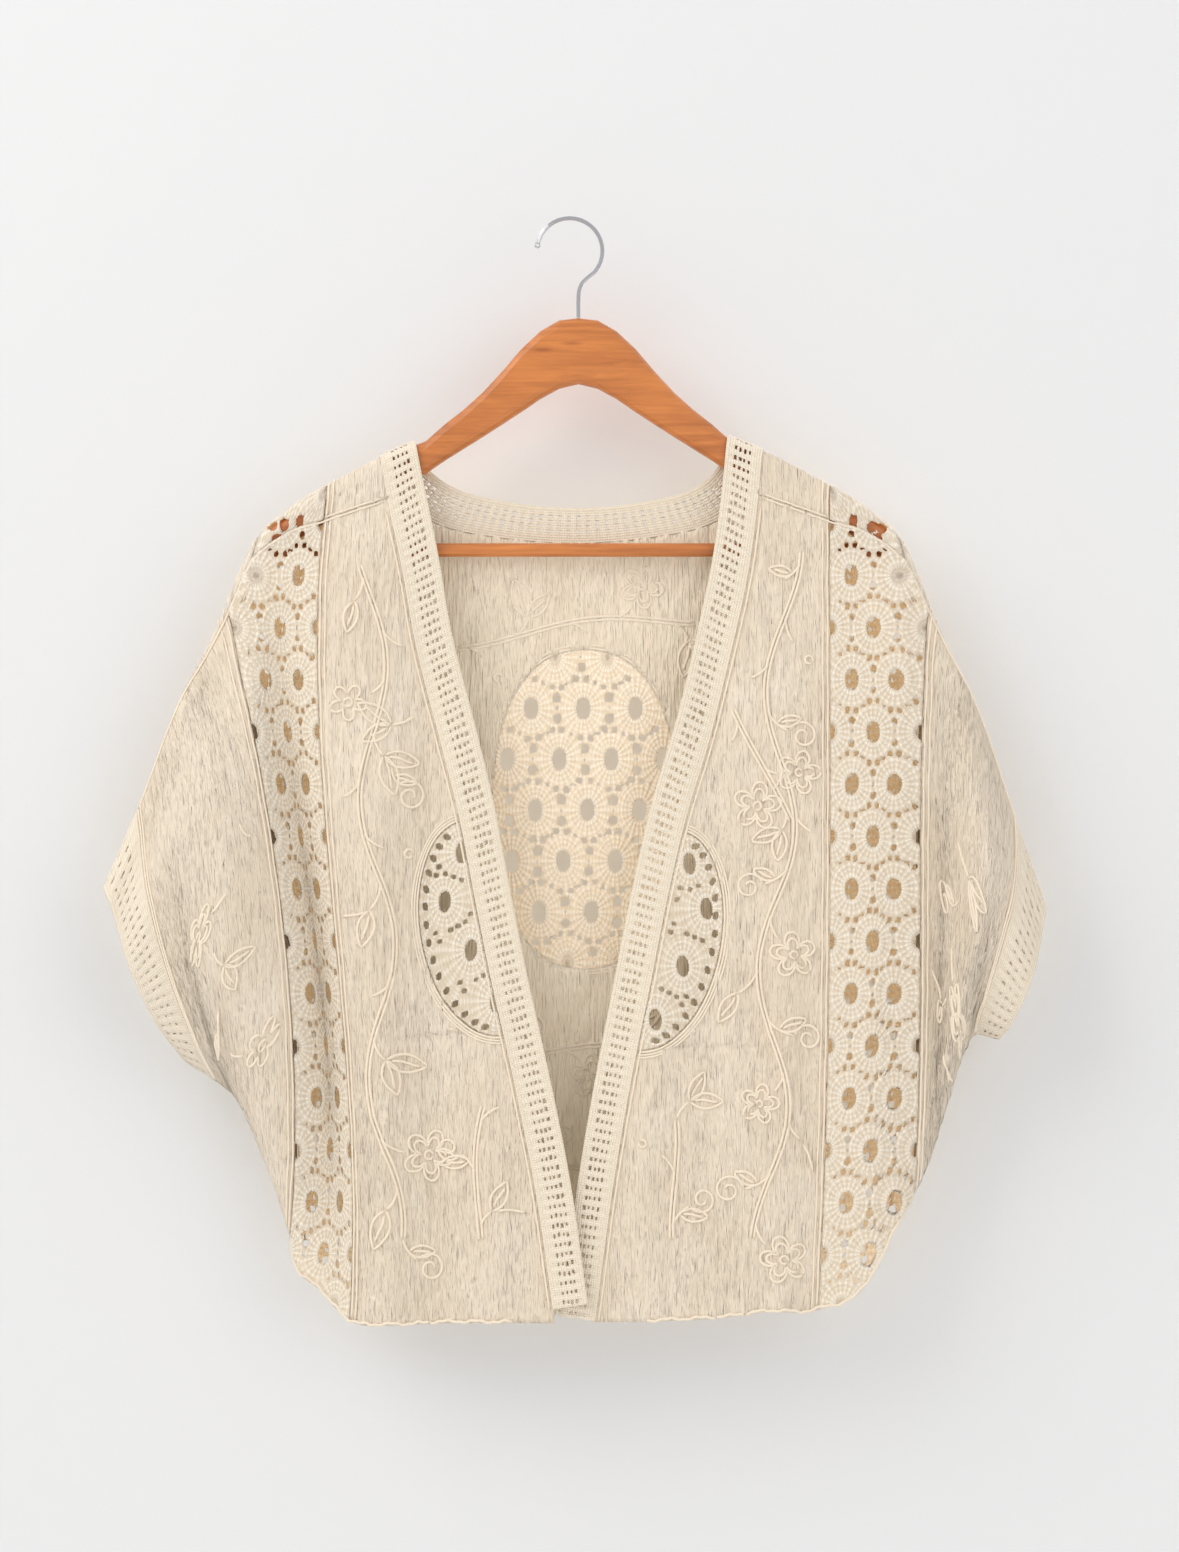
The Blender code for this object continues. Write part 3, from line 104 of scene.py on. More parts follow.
FOLD_COLUMNS = ("face", "across", "start", "end", "half_width", "rise", "lean")
FOLDS = (
    (1, -0.140, 0.30, 1.10, 0.011, 0.0030, 0.004),
    (1, -0.105, 0.15, 1.10, 0.013, -0.0028, 0.008),
    (1, -0.062, 0.55, 1.10, 0.014, 0.0036, 0.012),
    (1, 0.048, 0.50, 1.10, 0.013, 0.0030, -0.004),
    (1, 0.092, 0.12, 0.95, 0.014, -0.0026, -0.008),
    (1, 0.138, 0.35, 1.10, 0.012, 0.0034, 0.006),
    (1, -0.262, 0.10, 0.80, 0.016, 0.0050, -0.010),
    (1, -0.305, 0.25, 0.95, 0.014, -0.0040, 0.008),
    (1, 0.300, 0.15, 0.90, 0.015, 0.0045, -0.006),
    (-1, -0.120, 0.20, 1.10, 0.016, 0.0040, 0.006),
    (-1, -0.072, 0.55, 1.10, 0.014, -0.0030, -0.004),
    (-1, 0.030, 0.70, 1.10, 0.018, 0.0036, 0.006),
    (-1, 0.098, 0.25, 1.10, 0.016, 0.0038, -0.010),
    (-1, 0.145, 0.45, 1.05, 0.012, -0.0030, 0.004),
    (-1, 0.285, 0.15, 0.90, 0.016, 0.0050, 0.010),
    (-1, -0.290, 0.15, 0.90, 0.016, 0.0050, -0.010),
)
FOLD_FADE = 0.18
NOSE_WIDENS_OVER = 0.05
CLOSES_OVER = 0.016
UNDERARM_CLOSING = 0.016
CLEAR_OF_ARM_BY = 0.070
LAP = {"left": 0.0052, "right": -0.0010}
LAP_HALF_WIDTH = 0.055
LAP_START = 0.58
LAP_FULL = 0.80

SHOULDER_COLUMNS = ("across", "drop")
SHOULDER_SEAM = (
    (0.100, 0.037),
    (0.140, 0.033),
    (0.170, 0.027),
    (0.198, 0.018),
    (0.226, 0.009),
    (0.281, 0.006),
    (0.366, 0.006),
)
EDGE_COLUMNS = ("z", "left_x", "right_x")
FRONT_EDGES = (
    (-0.1500, -0.1110, 0.1010),
    (-0.2309, -0.0942, 0.0906),
    (-0.2791, -0.0860, 0.0805),
    (-0.3382, -0.0710, 0.0665),
    (-0.3939, -0.0575, 0.0500),
    (-0.4476, -0.0473, 0.0376),
    (-0.5190, -0.0330, 0.0235),
    (-0.5577, -0.0242, 0.0159),
    (-0.6514, -0.0052, -0.0004),
    (-0.7330, 0.0064, -0.0110),
)
BAND_TOP_Z = -0.175
BAND_FOOT_Z = {"left": -0.7330, "right": -0.7420}
HALF_OVALS = {
    "left": {"top_z": -0.4082, "foot_z": -0.5495,
             "wheels": ((-0.0785, -0.4292), (-0.0900, -0.4625), (-0.0724, -0.4951),
                        (-0.0555, -0.5297))},
    "right": {"top_z": -0.4150, "foot_z": -0.5600,
              "wheels": ((0.0750, -0.4367), (0.0866, -0.4673), (0.0703, -0.5060),
                         (0.0519, -0.5420))},
}
HALF_OVAL_BULGE = 0.041
GAUZE_WALL = 0.0009
CRINKLES = ((0.0230, 0.0014), (0.0127, 0.0014), (0.0069, 0.0012))
CLOTH_LIFT = 0.0001
CUT_GAP = 0.0002
SEAM_TUCK = 0.0014
STITCH_MARGIN = 0.006
UPRIGHT_COUNTS = 0.6
YARN_SIDES = 4


def smooth_curve(stations, values, at):
    """Cubic curve through the stations, each slope the weighted mean of its two chords."""
    stations = np.asarray(stations, float)
    values = np.asarray(values, float)
    gaps = np.diff(stations)
    chords = np.diff(values) / gaps
    slopes = np.empty_like(values)
    slopes[0] = chords[0]
    slopes[-1] = chords[-1]
    slopes[1:-1] = (chords[:-1] * gaps[1:] + chords[1:] * gaps[:-1]) / (gaps[:-1] + gaps[1:])
    at = np.asarray(at, float)
    k = np.clip(np.searchsorted(stations, at) - 1, 0, len(gaps) - 1)
    u = (at - stations[k]) / gaps[k]
    rise = 3 * u ** 2 - 2 * u ** 3
    lead = (u - 2 * u ** 2 + u ** 3) * gaps[k]
    trail = (u ** 3 - u ** 2) * gaps[k]
    return (1 - rise) * values[k] + rise * values[k + 1] + lead * slopes[k] + trail * slopes[k + 1]


def read(columns, table, name, at):
    """One named column of a table, as a smooth curve over the table's first column."""
    rows = np.array(table, float)
    return smooth_curve(rows[:, 0], rows[:, columns.index(name)], at)


def ease(u):
    """Zero below 0, one above 1, and 3u^2 - 2u^3 between."""
    u = np.clip(u, 0, 1)
    return u * u * (3 - 2 * u)


def section(name, across):
    """A column of SECTIONS at any place across."""
    return read(SECTION_COLUMNS, SECTIONS, name, across)


def shares(v):
    """How much each of four stations, a third of the way apart, weighs at a fraction v down
    a line: the cubic that is one at its own station and zero at the others.
    """
    return {"top": (1 - v) * (1 - 3 * v) * (2 - 3 * v) / 2,
            "upper": 4.5 * v * (1 - v) * (2 - 3 * v),
            "lower": 4.5 * v * (1 - v) * (3 * v - 1),
            "foot": v * (3 * v - 1) * (3 * v - 2) / 2}


def section_x(across, v):
    """Sideways place at a fraction v down a line: the cubic through its four stations."""
    return sum(share * section(place + "_x", across) for place, share in shares(v).items())


def section_z(across, v):
    """Height at a fraction v down a line, which runs evenly."""
    top = section("top_z", across)
    return top + v * (section("foot_z", across) - top)


def rim_sine(across, v, rim, least):
    """Sine of the angle between a line and the outline that it starts from or ends at."""
    step = 1e-4
    run = [section(rim + axis, across + step) - section(rim + axis, across - step)
           for axis in ("_x", "_z")]
    down = [place(across, v + step) - place(across, v - step) for place in (section_x, section_z)]
    turn = np.abs(run[0] * down[1] - run[1] * down[0])
    return np.clip(turn / np.hypot(*run) / np.hypot(*down), least, 1)


def line_sizes(across):
    """Sizes of the lines down the cloth: the quarter ellipse of the fold over the hanger,
    `nose` deep and `nose_long` down the line, the stretch over which an underarm closes,
    and the line's length as it hangs and as cloth.
    """
    out = np.abs(across)
    wood_nose = ARM_THICK / 2 + OVER_WOOD_GAP
    nose = wood_nose + (SLEEVE_NOSE - wood_nose) * ease((out - STRIP_EDGE) / NOSE_WIDENS_OVER)
    nose_long = nose / rim_sine(across, 1e-3, "top", 0.30)
    closed = ease((out - STRIP_EDGE + CLOSES_OVER) / CLOSES_OVER)
    closing = UNDERARM_CLOSING / rim_sine(across, 1 - 1e-3, "foot", 0.35)
    run_x = section("foot_x", across) - section("top_x", across)
    run_z = section("foot_z", across) - section("top_z", across)
    length = np.hypot(run_x, run_z)
    nose_arc = math.pi / 2 * np.sqrt((nose ** 2 + nose_long ** 2) / 2)
    return {"nose": nose, "nose_long": nose_long, "nose_arc": nose_arc, "closed": closed,
            "closing": closing, "length": length, "cloth_length": length + nose_arc - nose_long}


def fold_rise(face, across, v):
    """Sum of the folds on one face: a bell across each fold, eased in and out along it."""
    total = np.zeros(np.shape(across))
    for row in FOLDS:
        fold = dict(zip(FOLD_COLUMNS, row))
        middle = fold["across"] + fold["lean"] * (v - fold["start"])
        bell = np.exp(-((across - middle) / fold["half_width"]) ** 2)
        window = (ease((v - fold["start"]) / FOLD_FADE)
                  * ease((fold["end"] - v) / FOLD_FADE))
        total = total + np.where(face == fold["face"], fold["rise"] * bell * window, 0)
    return total


def stand_off(face, across, v):
    """Extra depth of a face: the cubic through 0 at the top and the three depths below."""
    total = fold_rise(face, across, v)
    for place, share in list(shares(v).items())[1:]:
        front = read(DEPTH_COLUMNS, DEPTHS, "front_" + place, across)
        back = read(DEPTH_COLUMNS, DEPTHS, "back_" + place, across)
        total = total + share * np.where(face > 0, front, back)
    return total


def hang(across, along, lap=None):
    """Where a point of the cloth hangs. `across` runs from the middle of the back towards
    either cuff, `along` from the top fold, above zero down the front and below zero down
    the back; the fold is a quarter ellipse and the rest follows its line.
    """
    size = line_sizes(across)
    face = np.where(along < 0, -1, 1)
    down = np.abs(along)
    top_angle = np.clip(down / size["nose_arc"], 0, 1) * math.pi / 2
    from_top = np.where(down < size["nose_arc"], size["nose_long"] * (1 - np.cos(top_angle)),
                        down - size["nose_arc"] + size["nose_long"])
    v = from_top / size["length"]
    left = np.clip((size["cloth_length"] - down) / size["closing"], 0, 1)
    shut = 1 - size["closed"] * (1 - left) ** 2
    clear_of_arm = ease(from_top / CLEAR_OF_ARM_BY)
    depth = (size["nose"] * np.sin(top_angle) + stand_off(face, across, v) * clear_of_arm) * shut
    depth = depth + 0.00015 * np.sin(top_angle)
    if lap:
        bell = np.exp(-(across / LAP_HALF_WIDTH) ** 2)
        depth = depth + LAP[lap] * bell * ease((v - LAP_START) / (LAP_FULL - LAP_START))
    return np.stack([CENTRE_X + section_x(across, v), -face * depth, section_z(across, v)], -1)


def raised(across, along, lap=None):
    """Points of the cloth's inner face and the directions that point out of the garment:
    the cross product of its two slopes, each a central difference.
    """
    step = 2e-4
    run = hang(across + step, along, lap) - hang(across - step, along, lap)
    rise = hang(across, along + step, lap) - hang(across, along - step, lap)
    out = np.cross(rise, run)
    out /= np.linalg.norm(out, axis=-1, keepdims=True)
    return hang(across, along, lap), out


def along_at(across, z, face):
    """Distance along the cloth at which a line reaches a height, below the top fold."""
    size = line_sizes(across)
    top = section("top_z", across)
    v = (z - top) / (section("foot_z", across) - top)
    return face * (v * size["length"] + size["nose_arc"] - size["nose_long"])


def lay(x, z, face):
    """Chart point that hangs at a place in the front view, x from the hanger's middle."""
    across = np.asarray(x, float)
    for _ in range(14):
        top = section("top_z", across)
        v = (z - top) / (section("foot_z", across) - top)
        across = across + x - section_x(across, v)
    return across, along_at(across, z, face)


def foot(across):
    """Distance along the cloth from the top fold to the hem or the underarm seam."""
    return line_sizes(across)["cloth_length"]


def shoulder(across):
    """Distance from the top fold down to the shoulder seam, which lies on the front."""
    return read(SHOULDER_COLUMNS, SHOULDER_SEAM, "drop", np.abs(across))


def way_down(across, face, share):
    """Distance along at a share of the way from the shoulder seam to the hem of one face."""
    return shoulder(across) + (face * foot(across) - shoulder(across)) * share


def grid(rows, columns, low=0):
    """Shares down and over a grid: down from zero to one, over from `low` to one."""
    return np.meshgrid(np.linspace(0, 1, rows), np.linspace(low, 1, columns), indexing="ij")


def crinkle(across, along, seed):
    """Height of the gauze's crinkles: trains of sharp upright ridges, 1 - |sin|, that drift
    sideways, swell and fade in patches, each train shorter and lower than the last. They
    flatten towards the seams across the cloth.
    """
    rng = np.random.default_rng(seed)
    total = 0
    for wavelength, height in CRINKLES:
        phase = rng.uniform(0, 2 * math.pi, 6)
        drift = (0.8 * wavelength * np.sin(along / 0.047 + phase[0])
                 + 0.5 * wavelength * np.sin(along / 0.019 + across / 0.05 + phase[1]))
        swell = 0.5 + 0.5 * np.sin(along / 0.043 + across / 0.021 + phase[2])
        swell = swell * (0.6 + 0.4 * np.sin(along / 0.021 - across / 0.034 + phase[3]))
        wave = 1 - np.abs(np.sin(math.pi * (across + drift) / wavelength + phase[4]))
        total = total + height * (0.15 + swell) * wave ** 1.4
    out = np.abs(across)
    near = np.minimum(np.abs(out - BODY_HALF), np.abs(out - STRIP_EDGE))
    near = np.minimum(near, np.abs(out - CUFF_SEAM))
    return total * (0.25 + 0.75 * ease(near / 0.009)) * (0.2 + 0.8 * ease(np.abs(along) / 0.030))


def mesh_piece(name, points, quads, chart, relief, finish, stitch=None, glow=None):
    """A mesh piece in world coordinates that rides on the root body. The chart place of
    each point is kept as its UV, its relief, from 0 in a groove to 1 on a crest, which
    some finishes use to paint shade in the grooves, and the share of painted glow that
    stands in for light coming through it as attributes, and the places of the corners on
    the stitches' pattern as a second UV.
    """
    used = np.unique(quads)
    place = np.zeros(len(points), int)
    place[used] = np.arange(len(used))
    quads = place[quads]
    mesh = bpy.data.meshes.new(name)
    mesh.from_pydata(points[used].tolist(), [], quads.tolist())
    layer = mesh.uv_layers.new(name="chart")
    layer.data.foreach_set("uv", (chart[used][quads.reshape(-1)]).astype(np.float32).ravel())
    if stitch is not None:
        layer = mesh.uv_layers.new(name="stitch")
        layer.data.foreach_set("uv", stitch.astype(np.float32).ravel())
    level = mesh.attributes.new("relief", "FLOAT", "POINT")
    level.data.foreach_set("value", relief[used].astype(np.float32))
    if glow is not None:
        level = mesh.attributes.new("glow_share", "FLOAT", "POINT")
        level.data.foreach_set("value", glow[used].astype(np.float32))
    mesh.materials.append(finish)
    mesh.shade_smooth()
    piece = bpy.data.objects.new(name, mesh)
    bpy.context.scene.collection.objects.link(piece)
    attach(piece, "root")
    return piece


def shell_quads(keep):
    """Faces of a thin shell over a grid's kept cells: its outer skin, its inner skin, whose
    points come after all the outer ones, and a wall where a kept cell has no neighbour.
    """
    i, j = np.nonzero(keep)
    columns = keep.shape[1] + 1
    under = (keep.shape[0] + 1) * columns
    a = i * columns + j
    b, c, d = a + 1, a + columns + 1, a + columns
    quads = [np.stack([a, b, c, d], -1), np.stack([d, c, b, a], -1) + under]
    ring = np.pad(keep, 1)
    for down, right, p, q in ((-1, 0, a, b), (0, 1, b, c), (1, 0, c, d), (0, -1, d, a)):
        bare = ~ring[i + 1 + down, j + 1 + right]
        p, q = p[bare], q[bare]
        quads.append(np.stack([q, p, p + under, q + under], -1))
    return np.concatenate(quads)


def shell_piece(name, points, finish, heights, keep=None, relief=None, lap=None, plane=None,
                wheels=None, thin=0.0):
    """A sheet over a grid of chart places, between an inner and an outer height above the
    hanging cloth. `plane` places each point on the pattern of the stitches, measured from
    the nearest of `wheels` where there are any, and is kept as a second UV. `thin` is the
    share of painted glow on its inner face, which stands in for light from behind that
    comes through.
    """
    rows, columns = points.shape[:2]
    ground, out = raised(points[..., 0], points[..., 1], lap)
    inner, outer = (np.broadcast_to(height, (rows, columns))[..., None] for height in heights)
    skins = np.concatenate([(ground + out * outer).reshape(-1, 3),
                            (ground + out * inner).reshape(-1, 3)])
    if keep is None:
        keep = np.ones((rows - 1, columns - 1), bool)
    quads = shell_quads(keep)
    corner = skins[quads[0]]
    turn = np.cross(corner[1] - corner[0], corner[2] - corner[0])
    if np.dot(turn, skins[quads[0, 0]] - skins[quads[0, 0] + rows * columns]) < 0:
        quads = quads[:, ::-1]
    chart = np.tile(points.reshape(-1, 2), (2, 1))
    level = np.ones((rows, columns)) if relief is None else relief
    stitch = None
    if plane is not None:
        stitch = np.tile(plane.reshape(-1, 2), (2, 1))[quads]
        if wheels is not None:
            stitch = stitch - wheels[nearest(stitch.mean(1), wheels)][:, None]
    glow = np.repeat([0.0, thin], rows * columns)
    return mesh_piece(name, skins, quads, chart, np.tile(level.reshape(-1), 2), finish, stitch, glow)


def nearest(places, wheels):
    """Number of the wheel nearest to each place, from the squared distances to them all,
    where upright distances count less, as the wheels are taller than wide.
    """
    gap = places[:, None] - wheels
    return np.argmin((gap ** 2 * (1.0, UPRIGHT_COUNTS)).sum(-1), axis=1)


def to_loop(places, loop):
    """Distance of each place from a closed line, the nearest point on it, and whether the
    place is inside it: whether a level line from it crosses the loop an odd number of times.
    """
    run = np.roll(loop, -1, axis=0) - loop
    away = places[:, None] - loop
    share = np.clip((away * run).sum(-1) / (run ** 2).sum(-1), 0, 1)
    foots = loop + share[..., None] * run
    gap = np.linalg.norm(places[:, None] - foots, axis=-1)
    first = np.argmin(gap, axis=1)
    rows = np.arange(len(places))
    level = away[..., 1]
    spans = (level < 0) != (level - run[:, 1] < 0)
    slope = run[:, 0] / np.where(run[:, 1] == 0, 1e-12, run[:, 1])
    crossed = spans & (away[..., 0] < level * slope)
    return gap[rows, first], foots[rows, first], crossed.sum(1) % 2 == 1


def cut_grid(points, cell, outline=None, holes=()):
    """A grid drawn onto the edges of what is cut out of it, and the cells that stay. A
    point closer than half a cell to an edge moves to the nearest place on it, and a cell
    goes when its middle or a corner lies off the cloth.
    """
    rows, columns = points.shape[:2]
    flat = points.reshape(-1, 2).copy()
    off = np.zeros(len(flat), bool)
    loops = [(hole, True) for hole in holes]
    if outline is not None:
        loops.append((outline, False))
    for loop, hollow in loops:
        reach = np.all((flat > loop.min(0) - cell) & (flat < loop.max(0) + cell), axis=1)
        near = np.nonzero(reach)[0]
        if not hollow:
            off |= ~reach
        if len(near):
            gap, place, within = to_loop(flat[near], loop)
            close = gap < 0.5 * cell
            flat[near[close]] = place[close]
            off[near[~close]] |= (within == hollow)[~close]
    moved = flat.reshape(rows, columns, 2)
    middle = (moved[:-1, :-1] + moved[1:, :-1] + moved[:-1, 1:] + moved[1:, 1:]) / 4
    gone = off.reshape(rows, columns)
    gone = gone[:-1, :-1] | gone[1:, :-1] | gone[:-1, 1:] | gone[1:, 1:]
    middle, gone = middle.reshape(-1, 2), gone.reshape(-1)
    for loop, hollow in loops:
        reach = np.all((middle > loop.min(0)) & (middle < loop.max(0)), axis=1) & ~gone
        near = np.nonzero(reach)[0]
        if len(near):
            gone[near] |= to_loop(middle[near], loop)[2] == hollow
    return moved, ~gone.reshape(rows - 1, columns - 1)


class Value:
    """One shader socket, with arithmetic that adds Math nodes to its material."""

    def __init__(self, tree, socket):
        self.tree = tree
        self.socket = socket

    def join(self, operation, first, second):
        """A Math node on two values, either of which may be a plain number."""
        node = self.tree.nodes.new("ShaderNodeMath")
        node.operation = operation
        for place, value in enumerate((first, second)):
            if isinstance(value, Value):
                self.tree.links.new(value.socket, node.inputs[place])
            else:
                node.inputs[place].default_value = value
        return Value(self.tree, node.outputs[0])

    def __add__(self, other):
        return self.join("ADD", self, other)

    def __radd__(self, other):
        return self.join("ADD", other, self)

    def __sub__(self, other):
        return self.join("SUBTRACT", self, other)

    def __rsub__(self, other):
        return self.join("SUBTRACT", other, self)

    def __mul__(self, other):
        return self.join("MULTIPLY", self, other)

    def __rmul__(self, other):
        return self.join("MULTIPLY", other, self)

    def __truediv__(self, other):
        return self.join("DIVIDE", self, other)

    def __rtruediv__(self, other):
        return self.join("DIVIDE", other, self)

    def __pow__(self, other):
        return self.join("POWER", self, other)

    def between(self, low, high):
        """The value held between two numbers."""
        return self.join("MINIMUM", self.join("MAXIMUM", self, low), high)


class Finish:
    """A material being wired up, round its Principled shader."""

    def __init__(self, name, **constants):
        self.material = bpy.data.materials.new(name)
        self.material.use_nodes = True
        self.tree = self.material.node_tree
        self.shader = self.tree.nodes["Principled BSDF"]
        for socket, value in constants.items():
            self.shader.inputs[socket.replace("_", " ")].default_value = value

    def node(self, kind, settings, values, output=0):
        """One more node: its settings, its socket values or links, and the output wanted."""
        node = self.tree.nodes.new(kind)
        for name, value in settings.items():
            setattr(node, name, value)
        for name, value in values.items():
            if isinstance(value, Value):
                self.tree.links.new(value.socket, node.inputs[name])
            else:
                node.inputs[name].default_value = value
        return Value(self.tree, node.outputs[output])

    def feed(self, socket, value):
        """Join a value to one of the shader's own sockets."""
        self.tree.links.new(value.socket, self.shader.inputs[socket])

    def blend(self, share, first, second):
        """The colour that lies a share of the way from the first to the second."""
        return self.node("ShaderNodeMix", {"data_type": "RGBA"},
                         {0: share, 6: first, 7: second}, 2)

    def grain(self, scale, detail=2.0, roughness=0.5):
        """Noise over the cloth's own chart, stretched by a scale across and along it."""
        chart = self.node("ShaderNodeUVMap", {"uv_map": "chart"}, {})
        placed = self.node("ShaderNodeMapping", {}, {"Vector": chart, "Scale": (*scale, 1)})
        return self.node("ShaderNodeTexNoise", {}, {"Vector": placed, "Scale": 1.0,
                                                    "Detail": detail, "Roughness": roughness})

    def attribute(self, name):
        """A number that is kept with the points."""
        return self.node("ShaderNodeAttribute", {"attribute_name": name}, {}, 2)

    def stitch_place(self, axis):
        """Distance on the stitches' own pattern, along one axis."""
        place = self.node("ShaderNodeUVMap", {"uv_map": "stitch"}, {})
        return self.node("ShaderNodeSeparateXYZ", {}, {0: place}, axis)

    def paint_glow(self, colour):
        """A painted glow on the cloth's shaded inner face, which stands in for the light that comes
        through the thin cloth.
        """
        glow = self.attribute("glow_share")
        self.shader.inputs["Emission Strength"].default_value = 1.0
        self.feed("Emission Color", self.blend(glow, (0, 0, 0, 1), colour))

    def bump(self, height, distance, strength=1.0, under=None):
        """Normals bent by a height, in metres, over an earlier bump if there is one."""
        values = {"Height": height, "Distance": distance, "Strength": strength}
        if under is not None:
            values["Normal"] = under
        return self.node("ShaderNodeBump", {}, values)


def gauze_finish():
    """Ivory cotton gauze: fine crinkles and an open weave in the bump, and a colour painted
    darker and warmer in the crinkles' hollows as painted shade, over patches of random
    tone, with a painted glow on inner faces for the light that comes through.
    """
    finish = Finish("gauze_cloth", Roughness=0.88, Sheen_Weight=0.15, Sheen_Roughness=0.6)
    crinkles = finish.grain((420, 42), 3.0, 0.55)
    weave = finish.grain((1700, 1500), 1.0, 0.5)
    cloud = finish.grain((17, 9), 3.0, 0.6)
    # Painted shade: the colour is darker and warmer where the crinkles' bump is low, mixed with
    # random patches of tone.
    crease_shade_and_tone = ((cloud - 0.5) * 1.4 + (crinkles - 0.5) * 0.9 + 0.45).between(0.0, 1.0)
    finish.feed("Base Color", finish.blend(crease_shade_and_tone, (0.725, 0.602, 0.445, 1), (0.860, 0.752, 0.608, 1)))
    # Painted glow on inner faces, standing in for light coming through the gauze.
    finish.paint_glow((0.085, 0.075, 0.050, 1))
    fine = finish.grain((900, 75), 2.0, 0.5)
    coarse = finish.bump(fine, 0.0014, 1.0, finish.bump(crinkles, 0.0030))
    finish.feed("Normal", finish.bump(weave, 0.0003, 0.8, coarse))
    return finish.material


def edge_x(side, z):
    """Sideways place of a front's free edge at a height."""
    rows = np.array(FRONT_EDGES)[::-1]
    return smooth_curve(rows[:, 0], rows[:, EDGE_COLUMNS.index(side + "_x")], z)


def along_line(line):
    """Distance of each point of a line from its start."""
    steps = np.linalg.norm(np.diff(line, axis=0), axis=1)
    return np.concatenate([[0], np.cumsum(steps)])


def spaced(line, step):
    """The same line with its points an even step apart."""
    length = along_line(line)
    at = np.linspace(0, length[-1], max(1, round(length[-1] / step)) + 1)
    return np.stack([smooth_curve(length, line[:, k], at) for k in (0, 1)], -1)


def band_lines(free, width):
    """A band's free edge and its seam: square to it by its width, but level with it where it
    crosses the top fold.
    """
    for _ in range(2):
        free = spaced(free, 0.004)
    run = np.gradient(free, axis=0)
    run /= np.linalg.norm(run, axis=1, keepdims=True)
    seam = free + width * np.stack([-run[:, 1], run[:, 0]], -1)
    square = ease(np.abs(free[:, 1]) / 0.045)
    seam[:, 1] = free[:, 1] + (seam[:, 1] - free[:, 1]) * square
    return free, seam


def front_band_lines(side):
    """Free edge and seam of a front's band on the chart, from the top fold to the hem."""
    sign = SIDES[side]
    z = np.linspace(BAND_TOP_Z, BAND_FOOT_Z[side], 26)
    below = np.stack(lay(edge_x(side, z), z, 1), -1)
    top = np.array([[edge_x(side, FRONT_EDGES[0][0]), 0.0]])
    return band_lines(np.concatenate([top, below]), -sign * BAND_WIDTH)


BAND_LINES = {side: front_band_lines(side) for side in SIDES}


def half_oval_span(side):
    """Distances along at which a front's half oval begins and ends on the band's seam."""
    seam = BAND_LINES[side][1]
    z = hang(seam[:, 0], seam[:, 1])[:, 2]
    sizes = HALF_OVALS[side]
    return tuple(seam[int(np.argmax(z < sizes[end])), 1] for end in ("top_z", "foot_z"))


HALF_OVAL_SPANS = {side: half_oval_span(side) for side in SIDES}


def front_inner_edge(side, along, with_oval=True):
    """Place across of a front's inner edge: the band's seam, pushed out by half an ellipse
    where the lace is let in.
    """
    sign = SIDES[side]
    seam = BAND_LINES[side][1]
    edge = np.interp(along, seam[:, 1], seam[:, 0])
    if with_oval:
        start, end = HALF_OVAL_SPANS[side]
        turn = np.clip((2 * along - start - end) / (end - start), -1, 1)
        edge = edge + sign * HALF_OVAL_BULGE * np.sqrt(1 - turn ** 2)
    return edge


def sew(node):
    """Hide the frame's solid for the node that a cloth piece stands for."""
    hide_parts(node)


def half_oval_loop(side, margin):
    """Edge of a front's half oval, let out by a margin: half an ellipse on the band's seam,
    closed well inside the band.
    """
    sign = SIDES[side]
    start, end = HALF_OVAL_SPANS[side]
    seam = BAND_LINES[side][1]
    turn = np.linspace(0, math.pi, 49)
    along = (start + end) / 2 - ((end - start) / 2 + margin) * np.cos(turn)
    base = np.interp(along, seam[:, 1], seam[:, 0])
    curve = np.stack([base + sign * (HALF_OVAL_BULGE + margin) * np.sin(turn), along], -1)
    inside = np.array([[curve[-1, 0] - sign * 0.03, curve[-1, 1]],
                       [curve[0, 0] - sign * 0.03, curve[0, 1]]])
    return np.concatenate([curve, inside])


